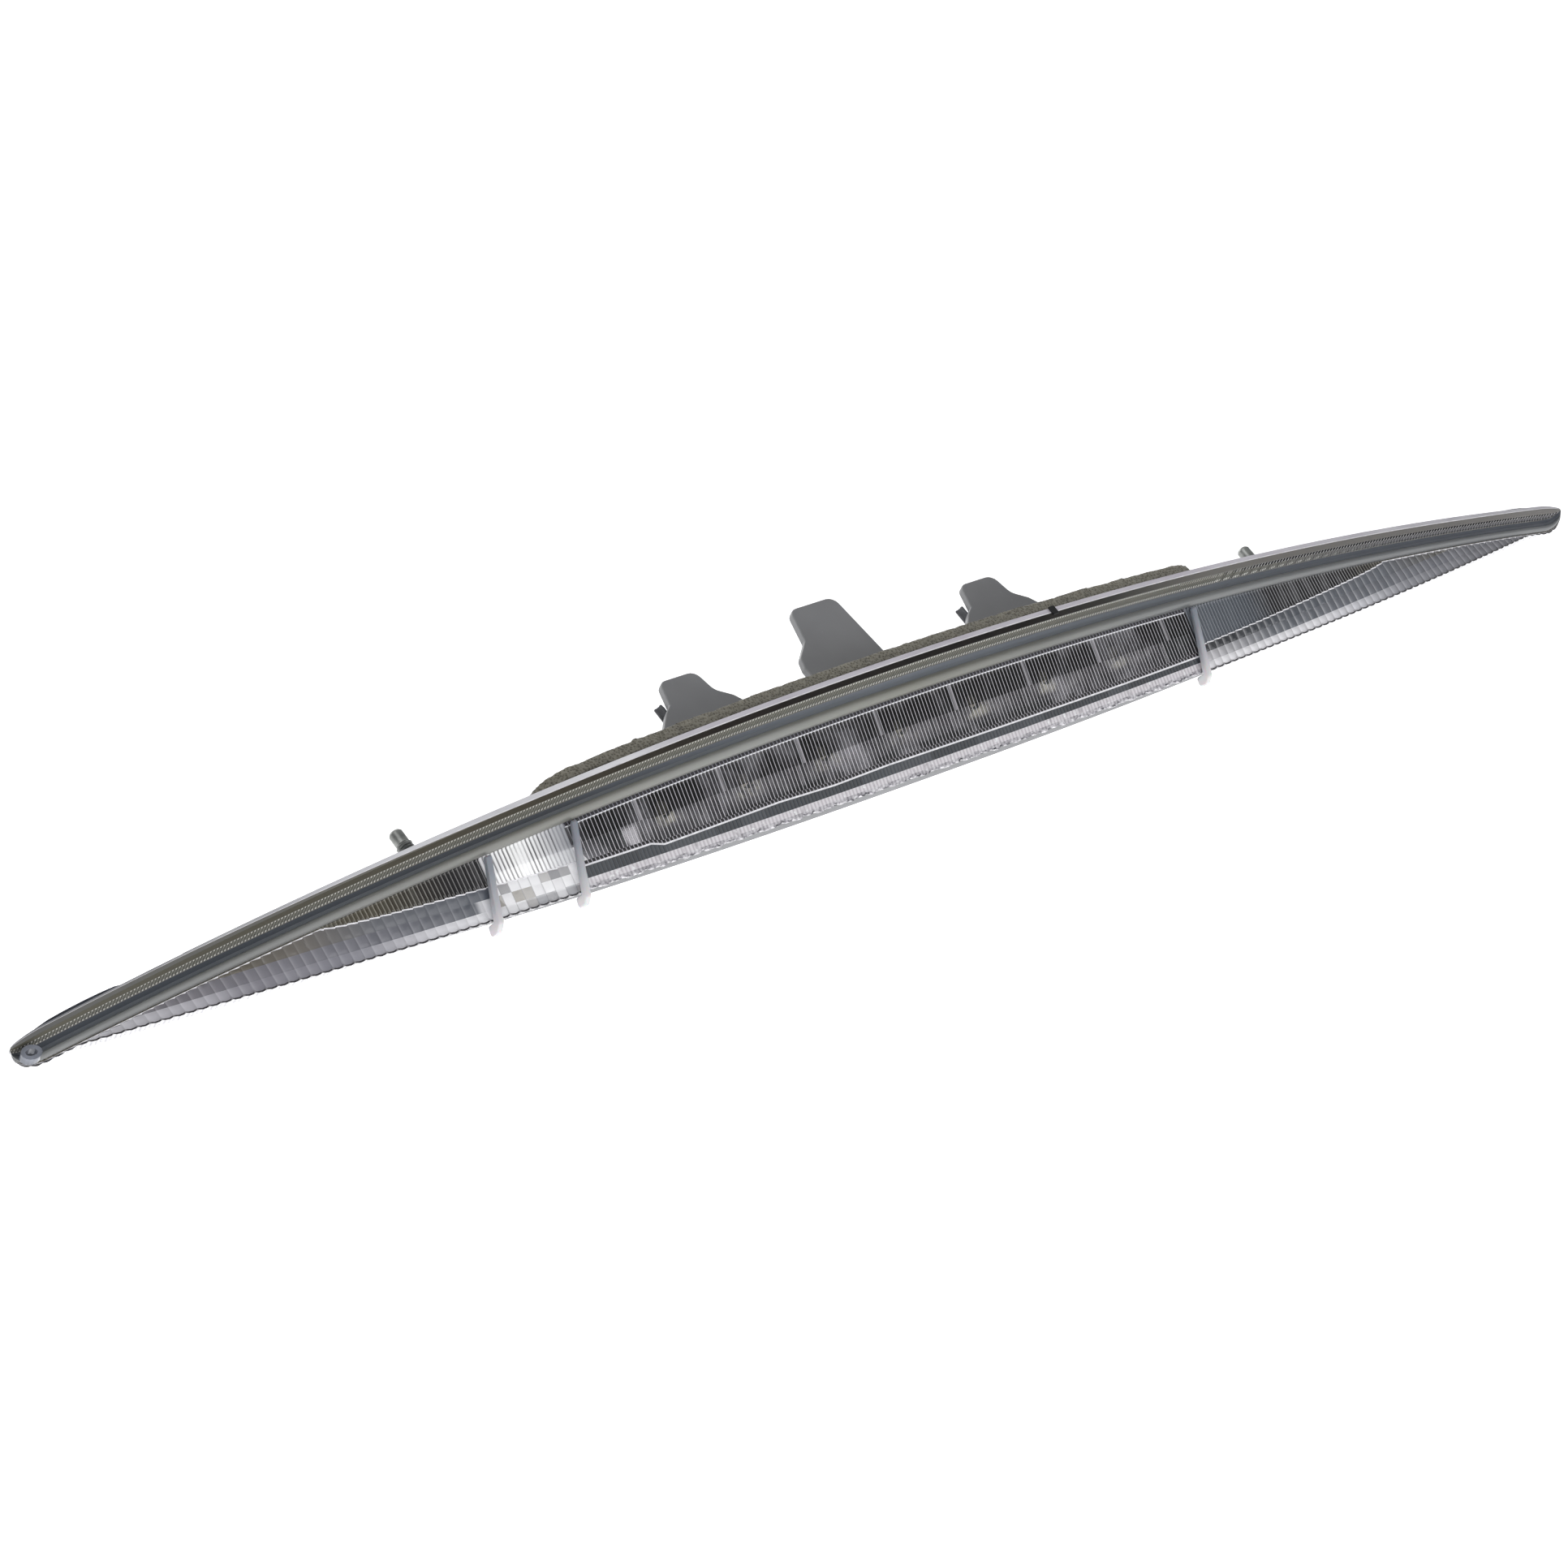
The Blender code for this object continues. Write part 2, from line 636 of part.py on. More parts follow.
def make_edge_details():
    """Index plug, vent patch, felt pads on the tips, and the hook under the left tip."""
    y, z = edge(PLUG_X)
    add_object("index_plug", box_mesh("index_plug", (PLUG_X - 1.3, y - 0.9, z - FLANGE_T - 1.2),
                                      (PLUG_X + 1.3, y - GAP, z + 0.2)), black_plastic)
    y = far_edge(-60.0)
    vent = box_mesh("vent_patch", (-66.0, y - 0.4, -15.0), (-56.0, y + 0.6, -7.0))
    add_object("vent_patch", vent, rubber)
    for name, low, high in (("tip_pad_left", -354.0, -322.0), ("tip_pad_right", 326.0, 354.0)):
        def section(x):
            over = (2 * x - low - high) / (high - low)
            half = 2.2 * math.sqrt(max(0.0, 1 - over**2)) + 0.6
            near, far = rounded_tip(x, [lens_section(x)[0], lens_section(x)[-1]])
            middle = (near[0] + far[0]) / 2
            base = edge(x)[1] + GAP
            return [(middle - half, base), (middle + half, base), (middle + half, base + 1.6),
                    (middle - half, base + 1.6)]
        steps = [low + (high - low) * k / 8 for k in range(9)]
        add_object(name, loft_mesh(name, steps, section), felt)
    make_hook()


def make_hook():
    """Small hooked eye hanging below the left tip."""
    x, z = -360.6, -17.0
    outer = [(x + 3.6 * math.cos(a), z + 2.7 * math.sin(a))
             for a in [math.radians(24 * k) for k in range(15)]]
    hook = add_object("tip_hook", outline_mesh("tip_hook", outer, 31.8, 34.6), clear_plastic)
    inner = [(x + 2.1 * math.cos(a), z + 1.3 * math.sin(a))
             for a in [math.radians(30 * k) for k in range(12)]]
    cut(hook, outline_mesh("hook_eye", inner, 26.0, 39.0), "hook_eye")


clear_scene()
parts = new_collection(COLLECTION)
cutters = new_collection("cutters")
lamp_axis = make_axis()

clear_plastic = material("clear_plastic", (0.62, 0.64, 0.66), 0.08, transmission=1.0)
grey_plastic = material("grey_plastic", (0.17, 0.175, 0.18), 0.5)
frosted = material("frosted_plastic", (0.75, 0.76, 0.78), 0.45, transmission=0.6)
chrome = material("reflector_chrome", (0.8, 0.8, 0.82), 0.08, metallic=1.0)
black_plastic = material("black_plastic", (0.012, 0.012, 0.013), 0.4)
board_green = material("circuit_board", (0.03, 0.12, 0.05), 0.4)
led_resin = material("led_resin", (0.85, 0.85, 0.78), 0.1, transmission=0.5)
zinc = material("zinc_steel", (0.42, 0.42, 0.40), 0.35, metallic=1.0)
brass = material("brass", (0.7, 0.5, 0.2), 0.3, metallic=1.0)
foam = material("foam", (0.14, 0.135, 0.1), 0.95)
rubber = material("rubber", (0.03, 0.03, 0.03), 0.7)
sealant = material("sealant", (0.05, 0.05, 0.05), 0.6)
felt = material("felt", (0.03, 0.03, 0.03), 0.95)

make_lens()
make_housing()
make_lower_seal()
make_reflector()
make_board()
make_leds()
make_board_screws()
make_connector()
make_baffles()
make_studs()
make_gasket()
make_tabs()
make_fins()
make_edge_details()
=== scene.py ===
"""Looks for the third brake light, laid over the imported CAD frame."""
import math

import bmesh
import bpy
import numpy as np
from mathutils import Matrix, Vector, noise


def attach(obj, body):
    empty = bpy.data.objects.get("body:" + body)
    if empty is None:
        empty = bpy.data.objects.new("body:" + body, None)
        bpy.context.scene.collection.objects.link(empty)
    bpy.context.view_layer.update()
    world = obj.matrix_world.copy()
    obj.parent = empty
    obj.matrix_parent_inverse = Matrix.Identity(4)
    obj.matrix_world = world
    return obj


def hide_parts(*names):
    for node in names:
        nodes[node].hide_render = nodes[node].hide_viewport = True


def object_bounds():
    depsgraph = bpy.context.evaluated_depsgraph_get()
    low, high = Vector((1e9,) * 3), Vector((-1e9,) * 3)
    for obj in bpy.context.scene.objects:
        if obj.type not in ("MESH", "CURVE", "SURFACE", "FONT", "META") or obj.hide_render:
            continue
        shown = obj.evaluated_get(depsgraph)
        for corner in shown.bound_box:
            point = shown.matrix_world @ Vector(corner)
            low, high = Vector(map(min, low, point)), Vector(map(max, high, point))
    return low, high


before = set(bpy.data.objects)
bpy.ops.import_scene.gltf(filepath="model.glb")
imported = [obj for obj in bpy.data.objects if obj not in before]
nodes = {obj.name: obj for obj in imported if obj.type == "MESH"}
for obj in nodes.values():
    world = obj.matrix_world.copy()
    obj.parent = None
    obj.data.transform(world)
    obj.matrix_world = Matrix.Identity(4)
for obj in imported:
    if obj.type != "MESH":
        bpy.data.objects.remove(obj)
cad_low, cad_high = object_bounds()

# ---- the lamp's own axes and running lines (mm), as in the CAD ----------------------------
TILT = math.radians(35.0)
SEAT_Y, SEAT_Z = 10.0, 7.8
HALF_LENGTH, TIP_BLEND = 366.0, 12.0
FLANGE_T, FLANGE_W, STEP_H, LENS_WALL = 2.1, 10.3, 2.7, 2.4
TIP_CENTRE, TIP_KEEP = np.array([32.5, -13.5]), 0.06    # the tips round in to this point
BOTTOM_Y, BOTTOM_Z, BOTTOM_RISE = 26.0, -33.7, 13.2
LEAST_FACE = 1.0       # drop of the lens face at the very tips
FLANGE_BACK = 4.4      # how far the flange's top runs on behind its step
FLUTE, FLUTE_DEPTH = 1.6, 0.5          # the fine flutes
RIB = 1.28             # pitch of the ribs under the flange
BOLD_RIB = 1.7         # and of those on its right wing
BOLD_FROM, BOLD_OVER = 160.0, 120.0    # where those begin, and how far they take to grow
BLOCK = 4.0            # pitch of the prism blocks
FINS = (-190.5, -155.5, 139.5)         # the zones of the lens face meet here, beside the fins
FLUTES_END = 253.0     # the wings' fluted zone has run out by here
FLUTES_DOWN, FLUTES_RUN = 13.2, 95.0   # how far it reaches down the face, and how fast it grows
CELL = 36.0            # pitch of the reflector's cells
STUD_X, STUD_IN, STUD_UP = 202.5, 21.2, 2.3    # a stud's foot, in and up from the flange edge
FOAM_VOXEL, FOAM_SKIN, FOAM_GRAIN, FOAM_PITS = 0.0009, 0.00012, 0.00028, 0.0007   # metres


def to_row(x, y, z):
    """Lamp axes in mm to row frame in metres."""
    y, z = y - SEAT_Y, z - SEAT_Z
    return (x / 1000, (y * math.cos(TILT) + z * math.sin(TILT)) / 1000,
            (z * math.cos(TILT) - y * math.sin(TILT)) / 1000)


def row_point(x, y, z):
    return Vector(to_row(x, y, z))


def share(x):
    """How far out x is, from 0 in the middle to 1 at a tip."""
    return np.abs(x) / HALF_LENGTH


def edge(x):
    """The flange's edge."""
    t = share(x)
    return 31.5 * t**2, -11.5 * (0.86 * t**2 + 0.14 * t**4)


def slim(x):
    """How much of its mid-length size a section keeps."""
    return 1.0 - 0.4 * share(x)**2


def bead_foot(x):
    """The foot of the bead, where the lens face starts."""
    ye, ze = edge(x)
    k = slim(x)
    return ye + (FLANGE_W + 1.6) * k, ze - FLANGE_T - STEP_H - 3.8 * k


def bottom(x):
    """The lower edge of the lens."""
    t = share(x)
    sweep = 13.9 * t**6
    rise = BOTTOM_RISE * t**2.5 + 0.56 * (sweep - 3.0 * t**8)
    return BOTTOM_Y + sweep, np.minimum(BOTTOM_Z + rise, bead_foot(x)[1] - LEAST_FACE)


def face_frame(x):
    """Arrays for the lens face: top point, unit vector down it, unit vector inward, length."""
    top = np.stack(bead_foot(x), -1)
    low = np.stack(bottom(x), -1)
    length = np.linalg.norm(low - top, axis=-1)
    down = (low - top) / length[..., None]
    inward = np.stack([-down[..., 1], down[..., 0]], -1)
    return top, down, inward, length


def shrink_tip(x, points):
    """Sections drawn in to a rounded tip."""
    over = np.clip((np.abs(x) - (HALF_LENGTH - TIP_BLEND)) / TIP_BLEND, 0, 1)
    keep = np.sqrt(np.maximum(0, 1 - over**2)) * (1 - TIP_KEEP) + TIP_KEEP
    return TIP_CENTRE + (points - TIP_CENTRE) * keep[..., None]


def mesh_piece(name, verts, faces, mats, indices=None, sharp=38.0):
    """A new piece from row-frame vertices that rides on the lamp's one body."""
    mesh = bpy.data.meshes.new(name)
    mesh.from_pydata(verts, [], faces)
    for mat in mats:
        mesh.materials.append(mat)
    if indices is not None:
        mesh.polygons.foreach_set("material_index", np.asarray(indices, dtype=np.int32))
    mesh.update()
    mesh.shade_smooth()
    mesh.set_sharp_from_angle(angle=math.radians(sharp))
    obj = bpy.data.objects.new(name, mesh)
    bpy.context.scene.collection.objects.link(obj)
    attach(obj, "root")
    return obj


# ---- materials ----------------------------------------------------------------------------
def tone(*screen):
    """Screen colour 0-255 to a linear colour."""
    return (*(((c / 255 + 0.055) / 1.055)**2.4 if c > 10 else c / 255 / 12.92 for c in screen), 1.0)


class Paint:
    """A procedural material built node by node."""

    def __init__(self, name, **constants):
        self.mat = bpy.data.materials.new(name)
        self.mat.use_nodes = True
        self.tree = self.mat.node_tree
        self.shader = self.tree.nodes["Principled BSDF"]
        for key, value in constants.items():
            self.shader.inputs[key.replace("_", " ")].default_value = value
        self.place = self.tree.nodes.new("ShaderNodeTexCoord").outputs["Object"]
        self.split = self.add("ShaderNodeSeparateXYZ", {0: self.place})
        self.x = self.split.outputs[0]

    def add(self, kind, inputs=None, **settings):
        node = self.tree.nodes.new(kind)
        for key, value in settings.items():
            setattr(node, key, value)
        for key, value in (inputs or {}).items():
            if isinstance(value, bpy.types.NodeSocket):
                self.tree.links.new(value, node.inputs[key])
            elif isinstance(value, bpy.types.Node):
                self.tree.links.new(value.outputs[0], node.inputs[key])
            else:
                node.inputs[key].default_value = value
        return node

    def maths(self, operation, a, b=0.0):
        return self.add("ShaderNodeMath", {0: a, 1: b}, operation=operation).outputs[0]

    def times(self, a, b):
        return self.maths("MULTIPLY", a, b)

    def pitches(self, pitch_mm, offset=0.0):
        """Pitches counted along the lamp, kept above zero by a thousand."""
        return self.maths("ADD", self.times(self.x, 1000.0 / pitch_mm), 1000.0 + offset)

    def phase(self, pitch_mm, offset=0.0):
        """0 to 1 across each pitch along the lamp."""
        return self.maths("FRACT", self.pitches(pitch_mm, offset))

    def along(self, low_mm, high_mm):
        """0 to 1 between two places along the lamp, eased at both."""
        return self.add("ShaderNodeMapRange", {0: self.x, 1: low_mm / 1000, 2: high_mm / 1000},
                        interpolation_type="SMOOTHSTEP").outputs[0]

    def reach(self, source, low, high):
        """0 to 1 between two values, evenly."""
        return self.add("ShaderNodeMapRange", {0: source, 1: low, 2: high}).outputs[0]

    def lengthwise(self, *stops):
        """Tones from the left tip (0) to the right tip (1)."""
        return self.ramp(self.along(-HALF_LENGTH, HALF_LENGTH), stops)

    def tones(self, stops, part=1):
        """Tones at given places: a stop is x in mm and then its colours, of which part is used."""
        low, high = stops[0][0], stops[-1][0]
        reach = self.reach(self.x, low / 1000, high / 1000)
        return self.ramp(reach, [((stop[0] - low) / (high - low), stop[part]) for stop in stops])

    def down_face(self):
        """Distance down the mid-length lens face, in metres."""
        top, down, _, _ = face_frame(np.array(0.0))
        axis = (row_point(0, *down) - row_point(0, 0, 0)) * 1000
        start = row_point(0, *top).dot(axis)
        dot = self.add("ShaderNodeVectorMath", {0: self.place, 1: tuple(axis)}, operation="DOT_PRODUCT")
        return self.maths("SUBTRACT", dot.outputs["Value"], start)

    def ramp(self, fac, stops):
        """Colours at places from 0 to 1, as screen colours or, with a fourth number, linear."""
        node = self.add("ShaderNodeValToRGB", {0: fac})
        marks = node.color_ramp.elements
        for i, (where, colour) in enumerate(stops):
            mark = marks[i] if i < 2 else marks.new(where)
            mark.position = where
            mark.color = colour if len(colour) == 4 else tone(*colour)
        return node.outputs[0]

    def greys(self, fac, stops):
        return self.ramp(fac, [(w, (v, v, v, 1.0)) for w, v in stops])

    def mix(self, fac, a, b, blend="MIX"):
        node = self.add("ShaderNodeMix", data_type="RGBA", blend_type=blend)
        for key, value in ((0, fac), (6, a), (7, b)):
            if isinstance(value, bpy.types.NodeSocket):
                self.tree.links.new(value, node.inputs[key])
            elif key == 0:
                node.inputs[0].default_value = value
            else:
                node.inputs[key].default_value = value if len(value) == 4 else tone(*value)
        return node.outputs[2]

    def noise(self, scale, detail=3.0, stretch=(1, 1, 1), rough=0.55):
        where = self.add("ShaderNodeMapping", {"Vector": self.place, "Scale": stretch})
        return self.add("ShaderNodeTexNoise", {"Vector": where, "Scale": scale, "Detail": detail,
                                               "Roughness": rough}).outputs[0]

    def speckle(self, scale):
        return self.add("ShaderNodeTexVoronoi", {"Vector": self.place, "Scale": scale}).outputs[0]

    def block_noise(self, pitch_mm, seed=0.0):
        """One random value for each block along the lamp."""
        number = self.maths("FLOOR", self.pitches(pitch_mm))
        return self.add("ShaderNodeTexWhiteNoise", {"W": self.maths("ADD", number, seed)},
                        noise_dimensions="1D").outputs["Value"]

    def bump(self, height, strength=0.3, mm=0.1):
        node = self.add("ShaderNodeBump", {"Height": height, "Strength": strength, "Distance": mm / 1000})
        self.tree.links.new(node.outputs[0], self.shader.inputs["Normal"])
        return self

    def feed(self, **links):
        for key, value in links.items():
            socket = self.shader.inputs[key.replace("_", " ")]
            if isinstance(value, bpy.types.NodeSocket):
                self.tree.links.new(value, socket)
            else:
                socket.default_value = value
        return self


def worn(paint, colour, amount=0.12, scale=60.0, stretch=(1, 1, 1)):
    """Slow tone variation over a base colour."""
    drift = paint.noise(scale, 3.0, stretch)
    dark = tuple(c * (1 - amount) for c in colour)
    light = tuple(min(255, c * (1 + amount)) for c in colour)
    return paint.ramp(drift, [(0.3, dark), (0.7, light)])


def strip_paint():
    p = Paint("edge_strip", Roughness=0.22, Coat_Weight=0.5, Coat_Roughness=0.08)
    base = p.lengthwise((0.0, (120, 122, 124)), (0.07, (222, 222, 226)), (0.25, (240, 239, 243)),
                        (0.33, (206, 201, 210)), (0.8, (206, 201, 210)), (1.0, (196, 194, 200)))
    streak = p.noise(240.0, 4.0, (0.15, 1, 1))
    p.feed(Base_Color=p.mix(0.18, base, p.ramp(streak, [(0.35, (150, 146, 156)), (0.65, (250, 250, 252))])))
    return p.bump(streak, 0.15, 0.05).mat


def strip_line_paint():
    p = Paint("edge_line", Roughness=0.2)
    return p.feed(Base_Color=worn(p, (238, 237, 240), 0.06, 300.0)).mat


def gap_paint():
    p = Paint("flange_gap", Roughness=0.6, Specular_IOR_Level=0.15)
    # Painted shade: the gap under the flange edge is painted near black, paler towards the tips.
    base = p.lengthwise((0.0, (96, 94, 84)), (0.18, (70, 66, 56)), (0.33, (24, 20, 17)), (0.62, (10, 9, 9)),
                        (0.7, (52, 52, 50)), (0.8, (112, 110, 106)), (1.0, (120, 118, 116)))
    return p.feed(Base_Color=p.mix(0.1, base, worn(p, (50, 44, 36), 0.4, 90.0))).mat


def olive(p):
    """Olive-grey of the plastic over the housing, a little bluer on the right."""
    base = p.lengthwise((0.0, (104, 104, 104)), (0.1, (114, 111, 103)), (0.3, (124, 122, 112)),
                        (0.5, (134, 134, 128)), (0.75, (128, 129, 128)), (1.0, (124, 122, 120)))
    return p.mix(0.25, base, worn(p, (126, 124, 116), 0.15, 120.0, (0.3, 1, 1)))


def band_paint():
    p = Paint("flange_plain", Roughness=0.3, Coat_Weight=0.4, Coat_Roughness=0.1)
    return p.feed(Base_Color=olive(p)).bump(p.noise(500.0), 0.1, 0.04).mat


def bold_paint():
    """Ribs under the right wing's flange, painted black and white: a painted highlight on each rib and
    painted shade between.
    """
    p = Paint("flange_bold", Roughness=0.24, Coat_Weight=0.3, Coat_Roughness=0.08)
    plain = p.ramp(p.phase(RIB), [(0.0, (92, 91, 84)), (0.3, (130, 129, 121)), (0.5, (206, 204, 194)),
                                  (0.7, (130, 129, 121)), (1.0, (92, 91, 84))])
    bold = p.ramp(p.phase(BOLD_RIB), [(0.0, (10, 10, 11)), (0.36, (16, 16, 18)), (0.5, (206, 205, 206)),
                                      (0.62, (244, 243, 244)), (0.82, (196, 194, 196)),
                                      (1.0, (12, 12, 13))])
    return p.feed(Base_Color=p.mix(p.along(150, 190), plain, bold)).mat


def rib_paint(name, dots):
    """Ribbed underside of the flange, each rib painted lighter on its crest and darker at its roots as
    painted highlight and shade; dots are the bright rib ends, painted highlights.
    """
    p = Paint(name, Roughness=0.24, Coat_Weight=0.5, Coat_Roughness=0.08)
    if dots:
        root, body, bright = (70, 69, 63), (112, 110, 102), (250, 248, 240)
        plain = p.ramp(p.phase(RIB), [(0.0, root), (0.2, body), (0.34, bright), (0.66, bright),
                                      (0.8, body), (1.0, root)])
        bold = p.ramp(p.phase(BOLD_RIB), [(0.0, (140, 139, 142)), (0.3, (52, 54, 60)),
                                          (0.6, (40, 42, 48)), (1.0, (140, 139, 142))])
    else:
        root, body, bright = (88, 87, 79), (122, 121, 112), (140, 139, 131)
        plain = p.ramp(p.phase(RIB), [(0.0, root), (0.3, body), (0.5, bright), (0.7, body), (1.0, root)])
        bold = p.ramp(p.phase(BOLD_RIB), [(0.0, (84, 84, 86)), (0.3, (120, 119, 121)),
                                          (0.5, (168, 166, 170)), (0.78, (160, 158, 162)),
                                          (1.0, (84, 84, 86))])
    both = p.mix(p.along(BOLD_FROM, BOLD_FROM + BOLD_OVER), plain, bold)
    return p.feed(Base_Color=p.mix(0.12, both, olive(p))).mat


def step_paint():
    p = Paint("flange_step", Roughness=0.2, Coat_Weight=0.6, Coat_Roughness=0.05)
    base = p.lengthwise((0.0, (58, 64, 74)), (0.2, (62, 66, 74)), (0.3, (100, 106, 116)),
                        (0.42, (122, 128, 138)), (0.5, (130, 136, 147)), (0.75, (118, 124, 133)),
                        (1.0, (72, 77, 86)))
    return p.feed(Base_Color=p.mix(0.15, base, worn(p, (112, 118, 128), 0.12, 90.0, (0.3, 1, 1)))).mat


def step_low_paint():
    p = Paint("step_low", Roughness=0.22, Coat_Weight=0.5, Coat_Roughness=0.08)
    base = p.lengthwise((0.0, (98, 104, 112)), (0.25, (116, 120, 126)), (0.5, (132, 138, 147)),
                        (0.75, (112, 117, 125)), (1.0, (92, 97, 105)))
    return p.feed(Base_Color=p.mix(0.15, base, worn(p, (120, 125, 132), 0.12, 90.0, (0.3, 1, 1)))).mat


def bead_paint():
    p = Paint("flange_bead", Roughness=0.28, Coat_Weight=0.6, Coat_Roughness=0.1)
    base = p.lengthwise((0.0, (126, 128, 130)), (0.2, (140, 140, 134)), (0.35, (138, 140, 137)),
                        (0.5, (122, 122, 113)), (0.75, (112, 115, 117)), (1.0, (100, 103, 108)))
    p.feed(Base_Color=p.mix(0.2, base, worn(p, (124, 124, 116), 0.15, 100.0, (0.3, 1, 1))))
    return p.bump(p.noise(700.0, 2.0), 0.08, 0.03).mat


def checker_paint():
    p = Paint("chequer_line", Roughness=0.2)
    base = p.ramp(p.phase(FLUTE), [(0.0, (150, 150, 156)), (0.2, (60, 58, 70)), (0.35, (16, 15, 22)),
                                   (0.7, (16, 15, 22)), (0.85, (70, 70, 80)), (1.0, (150, 150, 156))])
    return p.feed(Base_Color=base).bump(p.noise(900.0), 0.1, 0.03).mat


def zigzag_paint():
    p = Paint("zigzag_line", Roughness=0.15, Coat_Weight=0.5)
    base = p.ramp(p.phase(FLUTE), [(0.0, (120, 120, 128)), (0.18, (232, 232, 236)), (0.85, (240, 240, 244)),
                                   (1.0, (120, 120, 128))])
    return p.feed(Base_Color=base).bump(p.noise(900.0), 0.1, 0.03).mat


def window_paint(name, dark, crest, body_alpha, glow):
    """Clear fluted face: a painted highlight line on each crest, painted dark shade between."""
    p = Paint(name, Roughness=0.08, Specular_IOR_Level=0.6)
    turn, crest_alpha = p.phase(FLUTE), 0.95
    light = tuple(min(255, c + 60) for c in dark)
    body = p.ramp(p.noise(260.0, 3.0, (1.0, 0.25, 0.25)), [(0.35, dark), (0.6, dark), (0.78, light)])
    # Painted reflections: pale patches standing in for the lit reflector cells behind.
    patch = p.greys(p.noise(75.0, 4.0, (0.8, 0.6, 0.6)), [(0.48, 0.0), (0.64, 1.0)])
    body = p.mix(p.times(patch, glow), body, (176, 174, 180))
    # Painted reflection: a bright bar for the reflector wall at each cell's edge.
    bar = p.greys(p.phase(CELL, 0.5), [(0.0, 1.0), (0.01, 1.0), (0.03, 0.0), (0.97, 0.0), (0.99, 1.0),
                                       (1.0, 1.0)])
    body = p.mix(p.times(bar, 0.75 - glow), body, (214, 211, 217))
    base = p.mix(p.greys(turn, [(0.38, 0.0), (0.46, 1.0), (0.54, 1.0), (0.62, 0.0)]), body, crest)
    alpha = p.greys(turn, [(0.36, body_alpha), (0.46, crest_alpha), (0.54, crest_alpha),
                           (0.64, body_alpha)])
    return p.feed(Base_Color=base, Alpha=alpha).bump(p.noise(400.0, 2.0, (1, 0.3, 0.3)), 0.12, 0.05).mat


def cells_paint():
    """The row of small black cells under the window."""
    p = Paint("cell_line", Roughness=0.15)
    base = p.ramp(p.phase(FLUTE), [(0.0, (196, 194, 200)), (0.18, (90, 88, 96)), (0.28, (10, 10, 12)),
                                   (0.76, (10, 10, 12)), (0.86, (90, 88, 96)), (1.0, (206, 204, 210))])
    return p.feed(Base_Color=base).bump(p.noise(800.0), 0.1, 0.03).mat


def white_line_paint():
    p = Paint("white_line", Roughness=0.18, Coat_Weight=0.5)
    return p.feed(Base_Color=worn(p, (234, 233, 238), 0.08, 500.0)).mat


def slate_paint():
    p = Paint("slate_strip", Roughness=0.16, Coat_Weight=0.5, Coat_Roughness=0.05)
    rib = p.ramp(p.phase(FLUTE), [(0.0, (30, 34, 39)), (0.4, (46, 51, 57)), (0.55, (70, 76, 83)),
                                  (1.0, (32, 36, 41))])
    block = p.ramp(p.block_noise(11.0), [(0.0, (28, 31, 36)), (0.7, (48, 53, 59)), (0.85, (74, 78, 84)),
                                         (1.0, (96, 98, 104))])
    speck = p.greys(p.noise(420.0, 4.0), [(0.62, 0.0), (0.72, 1.0)])
    base = p.mix(0.35, rib, block)
    return p.feed(Base_Color=p.mix(p.times(speck, 0.35), base, (24, 30, 36))).mat


def clear_strip_paint():
    p = Paint("clear_strip", Roughness=0.12, Coat_Weight=0.6)
    rib = p.ramp(p.phase(FLUTE), [(0.0, (196, 190, 196)), (0.3, (226, 221, 226)),
                                  (0.6, (236, 233, 237)), (1.0, (200, 194, 200))])
    # Painted sparkle: dark flecks and bright glints of light in the clear strip.
    fleck = p.greys(p.noise(520.0, 4.0, (1, 0.5, 0.5)), [(0.55, 0.0), (0.7, 1.0)])
    base = p.mix(p.times(fleck, 0.5), rib, (150, 147, 153))
    glint = p.greys(p.noise(380.0, 3.0), [(0.62, 0.0), (0.7, 1.0)])
    return p.feed(Base_Color=p.mix(glint, base, (250, 250, 252)), Alpha=0.92).mat


def clear_low_paint():
    """The lower half of the clear strip: beads, with painted sparkle of dark flecks and bright glints."""
    p = Paint("clear_low", Roughness=0.12, Coat_Weight=0.6)
    bead = p.ramp(p.phase(FLUTE), [(0.0, (130, 127, 133)), (0.3, (204, 200, 206)),
                                   (0.6, (226, 223, 228)), (1.0, (140, 137, 143))])
    sparkle = p.ramp(p.noise(460.0, 4.0, (0.6, 1, 1)), [(0.34, (88, 87, 92)), (0.46, (168, 165, 171)),
                                                        (0.56, (216, 213, 218)), (0.66, (250, 249, 251))])
    return p.feed(Base_Color=p.mix(0.5, bead, sparkle), Alpha=0.95).mat


def bottom_paint():
    """Sparkling lower edge between the fins."""
    p = Paint("bottom_edge", Roughness=0.12, Coat_Weight=0.5)
    sparkle = p.ramp(p.noise(520.0, 4.0), [(0.35, (70, 70, 76)), (0.5, (176, 173, 180)),
                                           (0.62, (236, 234, 238))])
    return p.feed(Base_Color=sparkle).mat


def scallop_paint():
    """Dark lower edge under the wings' prism rows."""
    p = Paint("scallop_edge", Roughness=0.14, Coat_Weight=0.5)
    base = p.ramp(p.phase(BLOCK), [(0.0, (150, 148, 152)), (0.15, (52, 50, 54)), (0.85, (40, 38, 42)),
                                   (1.0, (170, 168, 172))])
    return p.feed(Base_Color=p.mix(0.15, base, worn(p, (90, 88, 92), 0.4, 400.0))).mat


def rim_paint():
    """Clear ribbed underside of the lower edge."""
    p = Paint("rim_clear", Roughness=0.1, Coat_Weight=0.5)
    rib = p.ramp(p.phase(FLUTE), [(0.0, (150, 148, 154)), (0.25, (214, 212, 217)),
                                  (0.6, (244, 243, 246)), (1.0, (160, 158, 164))])
    return p.feed(Base_Color=p.mix(0.2, rib, worn(p, (214, 212, 218), 0.15, 400.0)), Alpha=0.6).mat


